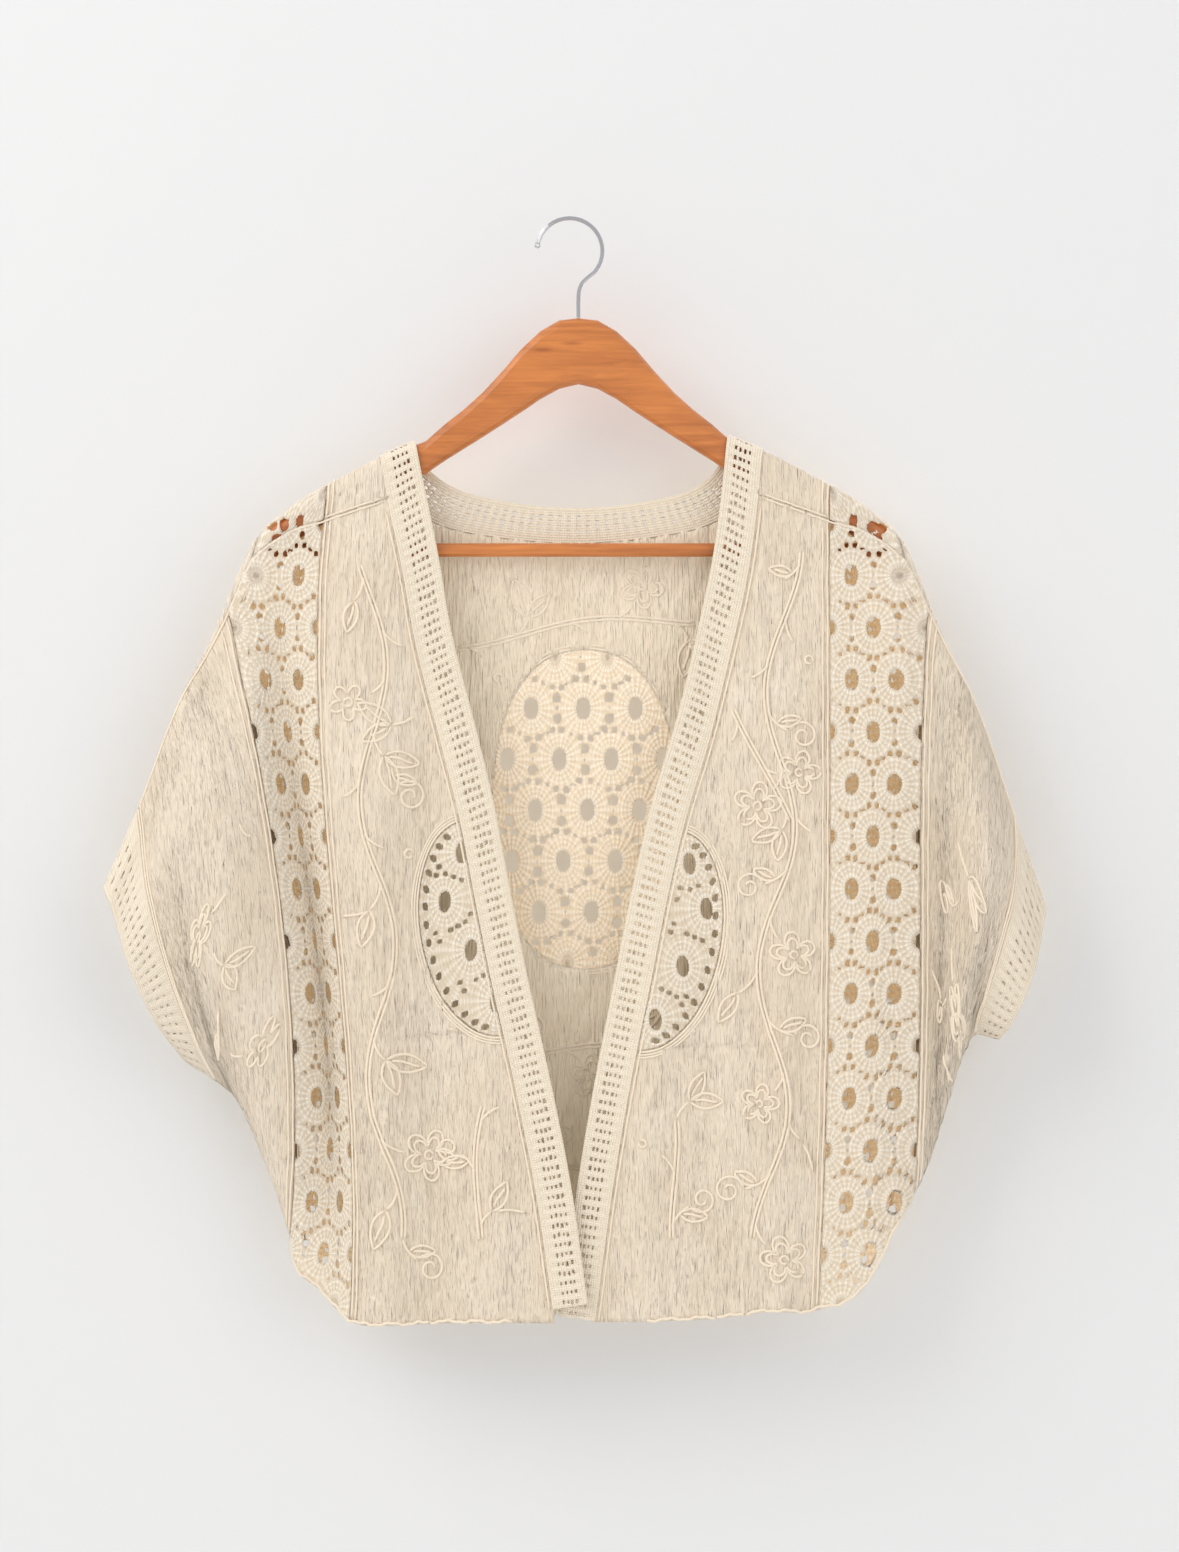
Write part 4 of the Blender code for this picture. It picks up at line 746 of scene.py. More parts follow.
def yarn_piece(name, lines, lap=None, seed=None, radius=0.0008, lift=0.0006,
               step=0.0024, share=1.0):
    """Yarns sewn to the cloth along chart lines, each a round tube that thins at its ends.
    A yarn lies on the gauze's crinkles where it has their seed and their share of height.
    """
    skins, quads, charts, count = [], [], [], 0
    for line in lines:
        run = along_line(line)
        places = np.linspace(0, run[-1], max(3, round(run[-1] / step) + 1))
        line = np.stack([np.interp(places, run, line[:, k]) for k in (0, 1)], -1)
        ground, out = raised(line[:, 0], line[:, 1], lap)
        height = lift + radius
        if seed is not None:
            height = height + share * crinkle(line[:, 0], line[:, 1], seed)[:, None]
        middle = ground + out * height
        ahead = np.gradient(middle, axis=0)
        ahead /= np.linalg.norm(ahead, axis=1, keepdims=True) + 1e-12
        beside = np.cross(ahead, out)
        up = np.cross(beside, ahead)
        corner = np.arange(YARN_SIDES)
        turn = (2 * corner + 1) * math.pi / YARN_SIDES
        thin = radius * np.minimum(1, 0.15 + np.minimum(places, run[-1] - places) / 0.002)
        ring = (beside[:, None] * np.cos(turn)[:, None] + up[:, None] * np.sin(turn)[:, None])
        skins.append((middle[:, None] + ring * thin[:, None, None]).reshape(-1, 3))
        charts.append(np.repeat(line, YARN_SIDES, axis=0))
        start = count + YARN_SIDES * np.arange(len(line) - 1)[:, None]
        a, b = start + corner, start + (corner + 1) % YARN_SIDES
        quads.append(np.stack([a, b, b + YARN_SIDES, a + YARN_SIDES], -1).reshape(-1, 4))
        count += len(line) * YARN_SIDES
        quads.append(np.stack([start[0] + corner[::-1], count - YARN_SIDES + corner]))
    skins = np.concatenate(skins)
    piece = mesh_piece(name, skins, np.concatenate(quads), np.concatenate(charts),
                       np.ones(len(skins)), thread)
    return piece


def turned(points, turn, place):
    """Points turned about the origin and moved to a place."""
    right = points[:, 0] * math.cos(turn) - points[:, 1] * math.sin(turn)
    up = points[:, 0] * math.sin(turn) + points[:, 1] * math.cos(turn)
    return np.stack([place[0] + right, place[1] + up], -1)


def flower(place, size, turn):
    """A flower in outline: five petals, r = size (0.42 + 0.58 |cos 2.5a| ^ 0.8), a second
    line inside them, and a ring in the middle.
    """
    angle = np.linspace(0, 2 * math.pi, 71)
    petals = 0.42 + 0.58 * np.abs(np.cos(2.5 * angle)) ** 0.8
    rings = (petals, 0.78 * petals - 0.06, np.full(71, 0.17))
    return [turned(size * ring[:, None] * np.stack([np.cos(angle), np.sin(angle)], -1), turn, place)
            for ring in rings]


def leaf(place, size, turn):
    """A leaf in outline, its half width 0.25 size sin(pi s) ^ 0.8, with a vein."""
    share = np.linspace(0, 1, 18)
    wide = 0.25 * np.sin(math.pi * share) ** 0.8 * (1 - 0.25 * share)
    edge = np.concatenate([np.stack([share, wide], -1), np.stack([share, -wide], -1)[::-1]])
    vein = np.stack([0.1 + 0.75 * share, 0.03 * np.sin(5 * share)], -1)
    return [turned(size * edge, turn, place), turned(size * vein, turn, place)]


def scroll(place, size, turn, hand):
    """A tendril that winds into itself: its radius shrinks by 0.8 over one turn and a half."""
    share = np.linspace(0, 1, 34)
    angle = hand * 3 * math.pi * share
    reach = 0.5 * (1 - 0.8 * share)
    coil = np.stack([0.5 - reach * np.cos(angle), reach * np.sin(angle)], -1)
    return [turned(size * coil, turn, place)]


def vine(start, end, sway, spread, seed, gap=0.034):
    """A double stem that sways from start to end, with a branch to each side in turn that
    ends in a flower, a pair of leaves or a scroll.
    """
    rng = np.random.default_rng(seed)
    start, end = np.array(start), np.array(end)
    length = np.linalg.norm(end - start)
    ahead = (end - start) / length
    beside = np.array([-ahead[1], ahead[0]])
    share = np.linspace(0, 1, round(length / 0.004))
    swing = sway * np.sin(share * length / 0.030 + rng.uniform(0, 6))
    stem = start + share[:, None] * (end - start) + swing[:, None] * beside
    slope = np.gradient(stem, axis=0)
    slope /= np.linalg.norm(slope, axis=1, keepdims=True)
    normal = np.stack([-slope[:, 1], slope[:, 0]], -1)
    lines = [stem + 0.0012 * normal, stem - 0.0012 * normal]
    hand = 1
    for number, place in enumerate(np.arange(0.3 * gap, length, gap)):
        k = min(int(place / length * len(stem)), len(stem) - 1)
        hand = -hand
        reach = spread * rng.uniform(0.7, 1.1)
        heading = math.atan2(slope[k, 1], slope[k, 0])
        bend = np.linspace(0, 1, 12)
        arc = heading + hand * (0.35 + 0.75 * bend)
        steps = reach / 11 * np.stack([np.cos(arc), np.sin(arc)], -1)
        branch = stem[k] + np.concatenate([[[0, 0]], np.cumsum(steps[:-1], axis=0)])
        lines.append(branch)
        tip, away = branch[-1], arc[-1]
        kind = (number + seed) % 3
        if kind == 0:
            size = rng.uniform(0.013, 0.018)
            lines += flower(tip + size * 0.9 * np.array([math.cos(away), math.sin(away)]), size, away)
        elif kind == 1:
            for side in (-0.55, 0.55):
                lines += leaf(tip, rng.uniform(0.021, 0.028), away + side)
        else:
            lines += scroll(tip, rng.uniform(0.017, 0.023), away, hand)
            lines += leaf(branch[6], rng.uniform(0.016, 0.021), arc[6] + hand * 0.9)
    return lines


def laid_out(lines, face):
    """Lines drawn in the front view, carried over to the chart of one face."""
    return [np.stack(lay(line[:, 0], line[:, 1], face), -1) for line in lines]


def below_seam(line, face):
    """Whether a line of stitches keeps clear of the shoulder seam and the hem by a margin."""
    down = line[:, 1] * face
    return np.all((down > shoulder(line[:, 0]) + STITCH_MARGIN)
                  & (down < foot(line[:, 0]) - STITCH_MARGIN))


def yarn_finish():
    """Ivory embroidery and sewing thread, a little lighter than the gauze under it."""
    finish = Finish("sewn_yarn", Roughness=0.8, Sheen_Weight=0.2)
    twist = finish.grain((900, 900), 2.0, 0.6)
    finish.feed("Base Color", finish.blend(twist, (0.78, 0.655, 0.490, 1), (0.905, 0.80, 0.65, 1)))
    finish.feed("Normal", finish.bump(twist, 0.0005))
    return finish.material


VINES = {
    "left": (((-0.142, -0.235), (-0.128, -0.690), 0.010, 0.020),
             ((-0.105, -0.330), (-0.135, -0.400), 0.004, 0.016),
             ((-0.068, -0.690), (-0.060, -0.600), 0.006, 0.018)),
    "right": (((0.140, -0.225), (0.128, -0.690), 0.011, 0.021),
              ((0.108, -0.330), (0.140, -0.410), 0.004, 0.016),
              ((0.068, -0.690), (0.060, -0.610), 0.006, 0.018)),
}


gauze = gauze_finish()
thread = yarn_finish()
FRONT_ROWS = 165
FRONT_COLUMNS = 100
FRONT_CELL = 0.0026
STITCH_RADIUS = 0.0012
for side, sign in SIDES.items():
    down, over = grid(FRONT_ROWS, FRONT_COLUMNS)
    edge = np.full(FRONT_ROWS, sign * 0.05)
    for _ in range(25):
        edge = front_inner_edge(side, way_down(edge, 1, down[:, 0]))
    edge = edge - sign * SEAM_TUCK
    across = edge[:, None] + over * (sign * BODY_HALF - edge[:, None])
    along = way_down(across, 1, down)
    points, keep = cut_grid(np.stack([across, along], -1), FRONT_CELL,
                            holes=[half_oval_loop(side, CUT_GAP)])
    away = (points[..., 0] - front_inner_edge(side, points[..., 1], False)) * sign
    seed = 11 + sign
    height = CLOTH_LIFT + crinkle(points[..., 0], points[..., 1], seed) * (
        0.1 + 0.9 * ease((away - 0.001) / 0.009))
    piece = shell_piece("gauze_front_" + side, points, gauze, (height, height + GAUZE_WALL),
                        keep, lap=side)
    lines = []
    for number, (start, end, sway, spread) in enumerate(VINES[side]):
        lines += vine(start, end, sway, spread, 3 * number + (2 if sign > 0 else 4))
    lines = [line for line in laid_out(lines, 1)
             if below_seam(line, 1) and np.all(line[:, 0] * sign < BODY_HALF - STITCH_MARGIN)
             and np.all((line[:, 0] - front_inner_edge(side, line[:, 1])) * sign > 0.007)]
    stitching = yarn_piece("embroidery_front_" + side, lines, side, seed, STITCH_RADIUS,
                           -CLOTH_LIFT)
    sew("front_" + side)

# Sleeves: two pieces of the same gauze each, front and back, from the lace strip to the
# cuff, closed by a seam along the top of the front and one under the arm, and embroidered
# with one vine each.
SLEEVE_GRID = {"front": (110, 46), "back": (88, 36)}
SLEEVE_CRINKLES = 0.7
for side, sign in SIDES.items():
    for layer, face in (("front", 1), ("back", -1)):
        down, over = grid(*SLEEVE_GRID[layer])
        across = sign * (STRIP_EDGE + CUT_GAP + over * (SLEEVE_WIDTH - 2 * CUT_GAP))
        along = way_down(across, face, down)
        seed = 21 + sign + 3 * face
        height = CLOTH_LIFT + SLEEVE_CRINKLES * crinkle(across, along, seed)
        piece = shell_piece("gauze_sleeve_%s_%s" % (layer, side), np.stack([across, along], -1),
                            gauze, (height, height + GAUZE_WALL))
        lines = vine((sign * (STRIP_EDGE + 0.030), face * 0.105),
                     (sign * (STRIP_EDGE + 0.062), face * 0.335), 0.009, 0.019, 5 + face + sign)
        lines = [line for line in lines if below_seam(line, face) and np.all(
            (line[:, 0] * sign > STRIP_EDGE + 0.007)
            & (line[:, 0] * sign < CUFF_SEAM - STITCH_MARGIN))]
        stitching = yarn_piece("embroidery_sleeve_%s_%s" % (layer, side), lines, None,
                               seed, 0.0011, -CLOTH_LIFT, share=SLEEVE_CRINKLES)
        sew("sleeve_%s_%s" % (layer, side))

# Back: one piece of gauze that comes over both shoulders to the seams on the front, with a
# curved neck and an oval cut out for the lace. Its embroidery shows on both faces, as the
# thread goes through the cloth.
NECK_EDGE = (
    (-0.0962, -0.1740),
    (-0.0780, -0.1840),
    (-0.0534, -0.1900),
    (0.0010, -0.1948),
    (0.0485, -0.1900),
    (0.0740, -0.1835),
    (0.0900, -0.1735),
)
OVAL_CENTRE = (0.0047, -0.4007)
OVAL_HALF = (0.0640, 0.1090)
OVAL_SQUARENESS = 2.3


def neck_band_lines():
    """Upper edge and seam of the neck band on the chart, from the left shoulder to the
    right, where both meet the front bands on the top fold.
    """
    rows = np.array(NECK_EDGE)
    below = np.stack(lay(rows[:, 0], rows[:, 1], -1), -1)
    left_free, left_seam = BAND_LINES["left"]
    right_free, right_seam = BAND_LINES["right"]
    lead = np.array([[0.0010, -0.0100]])
    free = np.concatenate([left_free[:1], left_free[:1] + lead, below,
                           right_free[:1] + lead * (-1, 1), right_free[:1]])
    free, seam = band_lines(free, -BAND_WIDTH)
    seam[0] = left_seam[0]
    seam[-1] = right_seam[0]
    return free, seam


def back_oval(margin):
    """Edge of the lace oval in the back, a squared ellipse, let out by a margin."""
    turn = np.linspace(0, 2 * math.pi, 97)[:-1]
    power = 2 / OVAL_SQUARENESS
    half_x, half_z = OVAL_HALF[0] + margin, OVAL_HALF[1] + margin
    x = OVAL_CENTRE[0] + half_x * np.sign(np.cos(turn)) * np.abs(np.cos(turn)) ** power
    z = OVAL_CENTRE[1] + half_z * np.sign(np.sin(turn)) * np.abs(np.sin(turn)) ** power
    return np.stack(lay(x, z, -1), -1)


def neck_notch():
    """What is cut out of the back for the neck: inside the neck band's seam and the front
    bands' seams, closed beyond the front shoulder seams.
    """
    tuck = SEAM_TUCK / BAND_WIDTH
    lines = [seam + (free - seam) * tuck for free, seam in
             (BAND_LINES["left"], neck_band_lines(), BAND_LINES["right"])]
    left, right = lines[0][:14], lines[2][:14]
    far = np.array([[right[-1, 0], 0.09], [left[-1, 0], 0.09]])
    return np.concatenate([left[::-1], lines[1][1:-1], right, far])


BACK_VINES = (
    ((-0.140, -0.210), (-0.125, -0.690), 0.010, 0.020),
    ((0.145, -0.210), (0.130, -0.690), 0.010, 0.020),
    ((-0.085, -0.285), (0.080, -0.270), 0.006, 0.017),
    ((-0.090, -0.560), (0.090, -0.575), 0.008, 0.019),
    ((-0.080, -0.650), (0.085, -0.640), 0.006, 0.018),
)
BACK_ROWS = 175
BACK_COLUMNS = 116
BACK_CELL = 0.0034
BACK_SEED = 31
OVAL_CLEARANCE = 0.004
down, over = grid(BACK_ROWS, BACK_COLUMNS, -1)
across = over * (BODY_HALF - CUT_GAP)
top = shoulder(np.maximum(np.abs(across), 0.1))
along = top - (top + foot(across)) * down
points, keep = cut_grid(np.stack([across, along], -1), BACK_CELL,
                        holes=[neck_notch(), back_oval(CUT_GAP)])
height = CLOTH_LIFT + crinkle(points[..., 0], points[..., 1], BACK_SEED)
# The back's inner face carries the full painted glow that stands in for light coming through the
# gauze.
piece = shell_piece("gauze_back", points, gauze, (height, height + GAUZE_WALL), keep, thin=1.0)
lines = []
for number, (start, end, sway, spread) in enumerate(BACK_VINES):
    lines += vine(start, end, sway, spread, 40 + number)
clear = []
for line in laid_out(lines, -1):
    inside = np.abs(line[:, 0]) < BODY_HALF - STITCH_MARGIN
    inside &= line[:, 1] > STITCH_MARGIN - foot(line[:, 0])
    for edge in (neck_notch(), back_oval(OVAL_CLEARANCE)):
        gap, _, within = to_loop(line, edge)
        inside &= ~within & (gap > OVAL_CLEARANCE)
    if np.all(inside):
        clear.append(line)
stitching = yarn_piece("embroidery_back", clear, None, BACK_SEED, STITCH_RADIUS, -0.0007,
                       0.0030)
sew("back_panel")

# Lace strips: wheels crocheted in ecru cotton yarn in staggered rows, worked together into a
# strip for each side, front and back, sewn in between the body and the sleeve from the hem
# to the shoulder.
WHEEL_HOLE = (0.0086, 0.0145)
WHEEL_OUTER = (0.0262, 0.0350)
POSTS = 22
STRIP_PITCH = (0.0275, 0.0353)
STRIP_FIRST_ROW_Z = -0.242
SHOULDER_GAPS = {
    "left": ((-0.2069, -0.2084, 0.0058, 0.0080), (-0.1990, -0.2080, 0.0058, 0.0080),
             (-0.1886, -0.2050, 0.0052, 0.0078), (-0.2042, -0.2170, 0.0056, 0.0070),
             (-0.1790, -0.2300, 0.0040, 0.0050)),
    "right": ((0.1861, -0.2047, 0.0056, 0.0080), (0.1985, -0.2091, 0.0050, 0.0076),
              (0.2055, -0.2101, 0.0050, 0.0076), (0.2026, -0.2170, 0.0052, 0.0064),
              (0.1790, -0.2300, 0.0040, 0.0056)),
}


def flat_z(across, along, face):
    """Height at which a chart place would hang if its line ran on straight past the fold."""
    size = line_sizes(across)
    top = section("top_z", across)
    from_top = face * along - size["nose_arc"] + size["nose_long"]
    return top + from_top / size["length"] * (section("foot_z", across) - top)


def oval_loop(x, z, size, face, turn=0.0, sides=20):
    """Chart outline of an oval gap round a place across and a height, turned a little."""
    angle = np.arange(sides) * 2 * math.pi / sides
    right, up = size[0] / 2 * np.cos(angle), size[1] / 2 * np.sin(angle)
    places = x + right * math.cos(turn) - up * math.sin(turn)
    heights = z + right * math.sin(turn) + up * math.cos(turn)
    return np.stack([places, along_at(places, heights, face)], -1)


def lattice(centre, pitch, rows, reach, paired, lean=0.0):
    """Places of the wheels' centres: rows a pitch apart, with `reach` wheels to either side,
    the rows whose remainder by two is `paired` shifted by half a pitch, and each row
    further aside than the one above by the lean.
    """
    places = []
    for row in rows:
        shift = 0.5 if row % 2 == paired else 0.0
        for step in range(-reach, reach + 1):
            places.append((centre[0] + row * lean + (step + shift) * pitch[0],
                           centre[1] - row * pitch[1]))
    return np.array(places)


def small_gaps(wheels, pitch, single, rng):
    """The gaps between wheels side by side, as rows of x, z, width, height and turn: a tiny
    one midway, one above and one below it, and a leaning pair beyond either; and two tiny
    ones on the slant between wheels of neighbouring rows.
    """
    scale = pitch[0] / 0.0275
    pattern = ((0.0, 0.0, 0.0018, 0.0024, 0.0), (0.0, 0.0072, *single, 0.0),
               (0.0, -0.0072, *single, 0.0))
    for side in (-1, 1):
        for end in (-1, 1):
            pattern += ((side * 0.0027 * scale, end * 0.0146, 0.0031 * scale, 0.0046,
                         side * end * 0.25),
                        (side * 0.0075 * scale, end * 0.0178, 0.0017, 0.0026, side * end * 0.9))
    gaps = []
    for x, z in wheels:
        for right, up, wide, tall, turn in pattern:
            slip = rng.normal(0, 0.00025, 2)
            grow = rng.uniform(0.86, 1.08)
            gaps.append((x + pitch[0] / 2 + right + slip[0], z + up + slip[1], wide * grow,
                         tall * grow, turn + rng.normal(0, 0.12)))
    return np.array(gaps)


def wheel_relief(plane, wheels):
    """Height of the crochet round its nearest wheel. The share t runs from the hole's edge
    to the rim's over ovals that grow evenly, and is found by halving. A thick ring goes
    round the hole, evenly turned posts run out from it, and a chain closes the rim.
    """
    shape = plane.shape[:-1]
    places = plane.reshape(-1, 2)
    away = places - wheels[nearest(places, wheels)]
    low, high = np.full(len(away), -0.4), np.full(len(away), 2.6)
    for _ in range(14):
        t = (low + high) / 2
        half = [(WHEEL_HOLE[k] + t * (WHEEL_OUTER[k] - WHEEL_HOLE[k])) / 2 for k in (0, 1)]
        beyond = (away[:, 0] / half[0]) ** 2 + (away[:, 1] / half[1]) ** 2 > 1
        low, high = np.where(beyond, t, low), np.where(beyond, high, t)
    angle = np.arctan2(away[:, 1] / half[1], away[:, 0] / half[0])
    ring = np.exp(-((t - 0.16) / 0.13) ** 2)
    posts = ease((t - 0.26) / 0.1) * ease((0.82 - t) / 0.1) * (0.5 + 0.5 * np.cos(POSTS * angle))
    rim = np.exp(-((t - 0.93) / 0.09) ** 2)
    height = 0.0004 + 0.0010 * ring + 0.0005 * posts + 0.0007 * rim
    return height.reshape(shape)


def lace_finish():
    """Ecru cotton yarn worked round each wheel: ring stitches and posts in the bump, with
    painted shade that darkens the colour in the hollows between them and where the relief
    is low, and a painted glow on inner faces that stands in for light through the yarn.
    """
    finish = Finish("lace_yarn", Roughness=0.85, Sheen_Weight=0.15, Sheen_Roughness=0.6,
                    Subsurface_Weight=0.22, Subsurface_Radius=(0.008, 0.006, 0.0045),
                    Subsurface_Scale=1.0)
    right = finish.stitch_place(0) / (WHEEL_OUTER[0] / 2)
    up = finish.stitch_place(1) / (WHEEL_OUTER[1] / 2)
    angle = right.join("ARCTAN2", up, right)
    radius = (right * right + up * up) ** 0.5
    posts = right.join("COSINE", angle * POSTS, 0.0)
    rings = right.join("COSINE", radius * 34.0, 0.0)
    chart = finish.grain((1100, 1100), 2.0, 0.6)
    yarn = (posts * 0.5 + rings * 0.35 + 0.5 + (chart - 0.5) * 1.1).between(0.0, 1.0)
    cloud = finish.grain((120, 120), 3.0, 0.6)
    level = finish.attribute("relief")
    # Painted shade: the colour darkens between posts and rings and where the relief is low, over
    # random tone.
    tone = (yarn * 0.50 + (cloud - 0.5) * 0.7 + level * 0.50 + 0.08).between(0.0, 1.0)
    finish.feed("Base Color", finish.blend(tone, (0.68, 0.545, 0.385, 1), (0.95, 0.845, 0.695, 1)))
    # Painted glow on inner faces, standing in for light coming through the lace.
    finish.paint_glow((0.190, 0.112, 0.048, 1))
    finish.feed("Normal", finish.bump(yarn, 0.0006))
    return finish.material


def lace_piece(name, points, cell, face, wheels, outline, gaps, lap=None, thin=0.0):
    """A piece of wheel lace on a grid of chart places: its gaps and its edge cut out, and
    both faces raised by the wheels' relief.
    """
    moved, keep = cut_grid(points, cell, outline=outline, holes=gaps)
    plane = np.stack([moved[..., 0], flat_z(moved[..., 0], moved[..., 1], face)], -1)
    height = wheel_relief(plane, wheels)
    # The relief level also darkens the lace's colour in its grooves, as painted shade.
    level = np.clip((height - 0.0004) / 0.0010, 0, 1)
    return shell_piece(name, moved, lace, (0.0009 - 0.5 * height, 0.0011 + height), keep, level,
                       lap, plane, wheels, thin)


lace = lace_finish()
STRIP_CELL = {"front": 0.0011, "back": 0.0014}
STRIP_GRID_LENGTH = {"front": 0.47, "back": 0.49}
CLEAR_OF_FOLD = {"front": 0.028, "back": 0.022}
HALF_WHEEL_HOLE = (0.0052, 0.0100)
MIDWAY_GAP = (0.0038, 0.0054)
STRIP_ROWS = range(-2, 16)
rng = np.random.default_rng(5)
for side, sign in SIDES.items():
    middle = sign * (BODY_HALF + STRIP_WIDTH / 2)
    for layer, face in (("front", 1), ("back", -1)):
        wheels = lattice((middle, STRIP_FIRST_ROW_Z), STRIP_PITCH, STRIP_ROWS, 1, (1 - face) // 2)
        cell = STRIP_CELL[layer]
        columns = round(STRIP_WIDTH / cell) + 1
        rows = round(STRIP_GRID_LENGTH[layer] / cell) + 1
        down, over = grid(rows, columns)
        across = sign * (BODY_HALF + CUT_GAP + over * (STRIP_WIDTH - 2 * CUT_GAP))
        along = way_down(across, face, down)
        gaps = []
        for x, z in wheels:
            beyond = face * along_at(x, z, face)
            whole = abs(x - middle) < STRIP_WIDTH / 2 - 0.006
            size = WHEEL_HOLE if whole else HALF_WHEEL_HOLE
            if CLEAR_OF_FOLD[layer] < beyond < foot(x) - 0.008:
                gaps.append(oval_loop(x, z, size, face, rng.normal(0, 0.05)))
        for x, z, wide, tall, turn in small_gaps(wheels, STRIP_PITCH, MIDWAY_GAP, rng):
            inside = abs(x - middle) < STRIP_WIDTH / 2 - 0.0022
            beyond = face * along_at(x, z, face)
            if inside and 0.020 < beyond < foot(x) - 0.006:
                gaps.append(oval_loop(x, z, (wide, tall), face, turn, 12))
        if layer == "back":
            for x, z, wide, tall in SHOULDER_GAPS[side]:
                place = lay(x, z, 1)[0]
                gaps.append(oval_loop(float(place), z, (wide, tall), 1, 0.0, 14))
        # The back strips' inner faces carry the full painted glow that stands in for light coming
        # through the lace.
        piece = lace_piece("lace_%s_%s" % (layer, side), np.stack([across, along], -1), cell,
                           face, wheels, None, gaps, thin=1.0 if layer == "back" else 0.0)
        sew("lace_strip_%s_%s" % (layer, side))

# Back lace and half ovals: the same wheels, set wider, worked to an oval that is sewn into
# the back and to a half oval beside each front band.
OVAL_FIRST_ROW_Z = -0.3315
OVAL_PITCH = (0.0357, 0.0348)
OVAL_LEAN = 0.0014
OVAL_GAP = (0.0060, 0.0072)
OVAL_CELL = 0.0013
OVAL_HOLE = (0.0098, 0.0148)
HALF_OVAL_CELL = 0.0010
HALF_OVAL_HOLE = (0.0082, 0.0145)
RIM_GAPS_IN = 0.005


def box_grid(loop, cell):
    """A grid of chart places a cell apart over the box round a loop."""
    low, high = loop.min(0), loop.max(0)
    columns, rows = ((high - low) / cell).astype(int) + 1
    places = np.meshgrid(np.linspace(low[0], high[0], columns), np.linspace(low[1], high[1], rows))
    return np.stack(places, -1)


def inside_by(loop, x, z, face, margin):
    """Whether a place across and a height lies inside a chart loop by a margin."""
    place = np.array([[x, float(along_at(np.asarray(x), z, face))]])
    gap, _, within = to_loop(place, loop)
    return bool(within[0]) and gap[0] > margin


edge = back_oval(-CUT_GAP)
wheels = lattice((OVAL_CENTRE[0] - OVAL_LEAN, OVAL_FIRST_ROW_Z), OVAL_PITCH, range(-2, 8), 3, 1,
                 OVAL_LEAN)
gaps = [oval_loop(x, z, OVAL_HOLE, -1) for x, z in wheels
        if inside_by(edge, x, z, -1, 0.0075)]
for x, z, wide, tall, turn in small_gaps(wheels, OVAL_PITCH, OVAL_GAP, rng):
    if inside_by(edge, x, z, -1, 0.5 * wide + 0.0022):
        gaps.append(oval_loop(x, z, (wide, tall), -1, turn, 12))
# The oval's inner face carries a 0.35 share of the painted glow that stands in for light coming
# through the lace.
piece = lace_piece("lace_oval_back", box_grid(edge, OVAL_CELL), OVAL_CELL, -1, wheels, edge, gaps,
                   thin=0.35)
sew("back_lace")

def rim_gaps(side, edge, wheel_gaps):
    """A row of gaps round the curved edge of a half oval, half an ellipse inside it, but none
    over a wheel's own gap.
    """
    sign = SIDES[side]
    seam = BAND_LINES[side][1]
    start, end = HALF_OVAL_SPANS[side]
    gaps = []
    for turn in np.linspace(0.1, math.pi - 0.1, 17):
        along = (start + end) / 2 - ((end - start) / 2 - RIM_GAPS_IN) * math.cos(turn)
        bulge = (HALF_OVAL_BULGE - RIM_GAPS_IN) * math.sin(turn)
        x = np.interp(along, seam[:, 1], seam[:, 0]) + sign * bulge
        z = float(flat_z(np.asarray(x), along, 1))
        over = [to_loop(np.array([[x, along]]), gap) for gap in wheel_gaps]
        if inside_by(edge, x, z, 1, 0.0036) and not any(
                within[0] and gap[0] < 0.003 for gap, _, within in over):
            gaps.append(oval_loop(x, z, (0.0040, 0.0058), 1, sign * (turn - math.pi / 2), 12))
    return gaps


def gaps_between(wheels, edge, gaps):
    """Tiny gaps along the line midway between each wheel and the next, single ones near the
    middle and pairs farther out, wherever they keep clear of the edge and of other gaps.
    """
    gaps = list(gaps)
    for (x0, z0), (x1, z1) in zip(wheels[:-1], wheels[1:]):
        slope = math.atan2(z1 - z0, x1 - x0) + math.pi / 2
        for reach in (-0.0165, -0.0115, -0.0058, 0.0, 0.0058, 0.0115, 0.0165):
            for slip in ((0.0,) if abs(reach) < 0.006 else (-0.0031, 0.0031)):
                x = (x0 + x1) / 2 + reach * math.cos(slope) - slip * math.sin(slope)
                z = (z0 + z1) / 2 + reach * math.sin(slope) + slip * math.cos(slope)
                wide = rng.uniform(0.0026, 0.0036)
                here = np.array([[x, float(along_at(np.asarray(x), z, 1))]])
                if inside_by(edge, x, z, 1, 0.0030) and all(
                        to_loop(here, gap)[0][0] > 0.0032 for gap in gaps):
                    gaps.append(oval_loop(x, z, (wide, wide * 1.35), 1, slope + math.pi / 2, 10))
    return gaps


for side, sign in SIDES.items():
    seam = BAND_LINES[side][1]
    start, end = HALF_OVAL_SPANS[side]
    base = seam[(seam[:, 1] > start - 0.004) & (seam[:, 1] < end + 0.004)] + (sign * 0.0003, 0)
    edge = np.concatenate([half_oval_loop(side, -0.0003)[:-2], base[::-1]])
    wheels = np.array([(float(lay(x, z, 1)[0]), z) for x, z in HALF_OVALS[side]["wheels"]])
    gaps = [oval_loop(x, z, HALF_OVAL_HOLE, 1, sign * 0.12) for x, z in wheels]
    gaps = gaps_between(wheels, edge, gaps + rim_gaps(side, edge, gaps))
    piece = lace_piece("lace_half_oval_" + side, box_grid(edge, HALF_OVAL_CELL), HALF_OVAL_CELL, 1,
                       wheels, edge, gaps, side)
    sew("front_lace_" + side)

